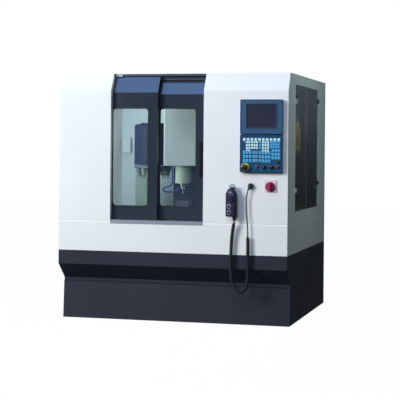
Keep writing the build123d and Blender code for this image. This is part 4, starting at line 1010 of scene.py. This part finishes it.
class MACHINE_OT_work_light(bpy.types.Operator):
    """Adds the lamp's lit cover inside the work area"""

    bl_idname = "machine.work_light"
    bl_label = "Work Light"

    def execute(self, context):
        m, g = new_material("lamp_cover")
        lines = g.node("TexWave", {"Vector": g.where(), "Scale": 60.0}).outputs["Fac"]
        glow = g.mix(g.remap(lines, 0, 1, 0.0, 0.3), (1.0, 0.99, 0.96), (0.85, 0.88, 0.9))
        plain = {"Emission Strength": 12.0, "Base Color": (0.9, 0.9, 0.88, 1), "Roughness": 0.3}
        g.surface({"Emission Color": glow, **plain})
        low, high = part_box("work_lamp")
        a = ring(24)
        x = np.linspace(low.x + 0.012, high.x - 0.012, 30)[:, None] * np.ones(24)
        y = (low.y + high.y) / 2 + 0.020 * np.cos(a) * np.ones((30, 1))
        z = low.z + 0.0005 + 0.0105 * np.sin(a) * np.ones((30, 1)) + 0.002
        piece("lamp_cover", [skin(np.stack([x, y, z], -1))], "lamp_body", m)
        return {"FINISHED"}


FLOOR = (15.0, -0.0005)  # half width and height
# place, aim, size, spread and colour of each lamp; its power is a setting of the stage
LAMPS = {
    "key_lamp": ((-5.1, -6.2, 3.5), (0, 0, 0.8), (3.2, 3.2), 180, (1, 1, 0.96)),
    "fill_lamp": ((2.1, -0.25, 2.95), (0.8, 0, 1.35), (0.8, 1.6), 130, (0.76, 1, 0.98)),
    "cool_lamp": ((0.75, -7, 5), (0.6, 0, 0.9), (3, 3), 180, (0.7, 0.82, 1)),
    "side_lamp": ((0.72, -0.40, 1.42), (0.72, -0.116, 1.27), (0.10, 0.10), 180, (1, 1, 1)),
    "sky_lamp": ((-1.05, -2.1, 4.3), (-0.1, -0.7, 1.6), (2, 1.3), 180, (0.27, 0.48, 1)),
    "inner_lamp": ((-0.62, -0.56, 1.30), (-0.45, 0.6, 1.10), (0.3, 0.72), 180, (0.9, 1, 1)),
}
# the photo's camera, worked out from the housing's corners
CAMERA_AT = (2.3969, -9.0714, 1.1960)
CAMERA_TURN, CAMERA_ROLL = 0.258, 0.009
CAMERA_LENS, CAMERA_SHIFT = 115.74, -0.1345


class MACHINE_OT_stage(bpy.types.Operator):
    """Sets the floor, the lamps, the surroundings and the camera"""

    bl_idname = "machine.stage"
    bl_label = "Stage"

    def execute(self, context):
        scene, settings = context.scene, context.scene.machine_stage
        self.floor()
        self.surroundings(scene, settings.around)
        for name, (place, aim, (wide, high), spread, colour) in LAMPS.items():
            data = bpy.data.lights.new(name, "AREA")
            data.shape = "RECTANGLE"
            data.energy = getattr(settings, name.replace("lamp", "power"))
            data.size, data.size_y, data.color, data.spread = wide, high, colour, np.radians(spread)
            obj = new_object(name, data)
            obj.location = place
            obj.rotation_euler = (Vector(aim) - Vector(place)).to_track_quat("-Z", "Y").to_euler()
            obj.visible_camera = False
        cam = bpy.data.cameras.new("camera")
        cam.lens, cam.sensor_width, cam.shift_y, cam.clip_end = CAMERA_LENS, 36.0, CAMERA_SHIFT, 100.0
        obj = new_object("camera", cam)
        level = Matrix.Rotation(CAMERA_TURN, 4, "Z") @ Matrix.Rotation(np.pi / 2, 4, "X")
        obj.matrix_world = Matrix.Translation(CAMERA_AT) @ level @ Matrix.Rotation(CAMERA_ROLL, 4, "Z")
        scene.camera = obj
        scene.view_settings.view_transform = "Standard"
        return {"FINISHED"}

    def floor(self):
        """A floor that looks white to the camera, throws little light up and shows faintly in gloss."""
        mesh = bpy.data.meshes.new("floor")
        h, z = FLOOR
        mesh.from_pydata([(-h, -h, z), (h, -h, z), (h, h, z), (-h, h, z)], [], [(0, 1, 2, 3)])
        new_object("floor", mesh)
        m, g = new_material("floor_white")
        path, seen = g.seen()
        share = g.math("MAXIMUM", g.times(seen, 0.985), g.times(path["Is Glossy Ray"], 0.12))
        matt = g.node("BsdfDiffuse", {"Color": g.mix(seen, (0.07, 0.07, 0.07), (0.9, 0.9, 0.9))})
        glow = g.node("Emission", {"Color": WHITE, "Strength": 1.0})
        both = g.node("MixShader", {0: share, 1: matt.outputs[0], 2: glow.outputs[0]})
        g.node("OutputMaterial", {0: both.outputs[0]})
        mesh.materials.append(m)

    def surroundings(self, scene, strength):
        """White behind the machine to the camera, and a faint cool light to everything else."""
        scene.world = bpy.data.worlds.new("surroundings")
        g = new_tree(scene.world)
        seen = g.seen()[1]
        plain = g.node("Background", {"Color": (0.90, 0.95, 1.0, 1), "Strength": strength})
        white = g.node("Background", {"Color": WHITE, "Strength": 1.0})
        both = g.node("MixShader", {0: seen, 1: plain.outputs[0], 2: white.outputs[0]})
        g.node("OutputWorld", {0: both.outputs[0]})


# ---- the add-on ----


class MACHINE_PT_looks(bpy.types.Panel):
    bl_label = "Machining Centre"
    bl_idname = "MACHINE_PT_looks"
    bl_space_type = "VIEW_3D"
    bl_region_type = "UI"
    bl_category = "Machining Centre"

    def draw(self, context):
        for name in SETTINGS:
            settings = getattr(context.scene, name)
            box = self.layout.box()
            for key in settings.__annotations__:
                box.prop(settings, key)
        for op in OPERATORS:
            self.layout.operator(op.bl_idname)


OPERATORS = [
    MACHINE_OT_stage,
    MACHINE_OT_cord,
    MACHINE_OT_finishes,
    MACHINE_OT_door_trim,
    MACHINE_OT_keyboard,
    MACHINE_OT_controls,
    MACHINE_OT_main_switch,
    MACHINE_OT_pendant,
    MACHINE_OT_fasteners,
    MACHINE_OT_work_light,
]
SETTINGS = {
    "machine_finish": FinishSettings,
    "machine_cord": CordSettings,
    "machine_trim": TrimSettings,
    "machine_stage": StageSettings,
}
CLASSES = (*SETTINGS.values(), *OPERATORS, MACHINE_PT_looks)


def register():
    for cls in CLASSES:
        bpy.utils.register_class(cls)
    for name, cls in SETTINGS.items():
        setattr(bpy.types.Scene, name, bpy.props.PointerProperty(type=cls))


def unregister():
    for name in SETTINGS:
        delattr(bpy.types.Scene, name)
    for cls in reversed(CLASSES):
        bpy.utils.unregister_class(cls)


def main():
    register()
    for op in OPERATORS:
        family, name = op.bl_idname.split(".")
        getattr(getattr(bpy.ops, family), name)()


if __name__ == "__main__":
    main()
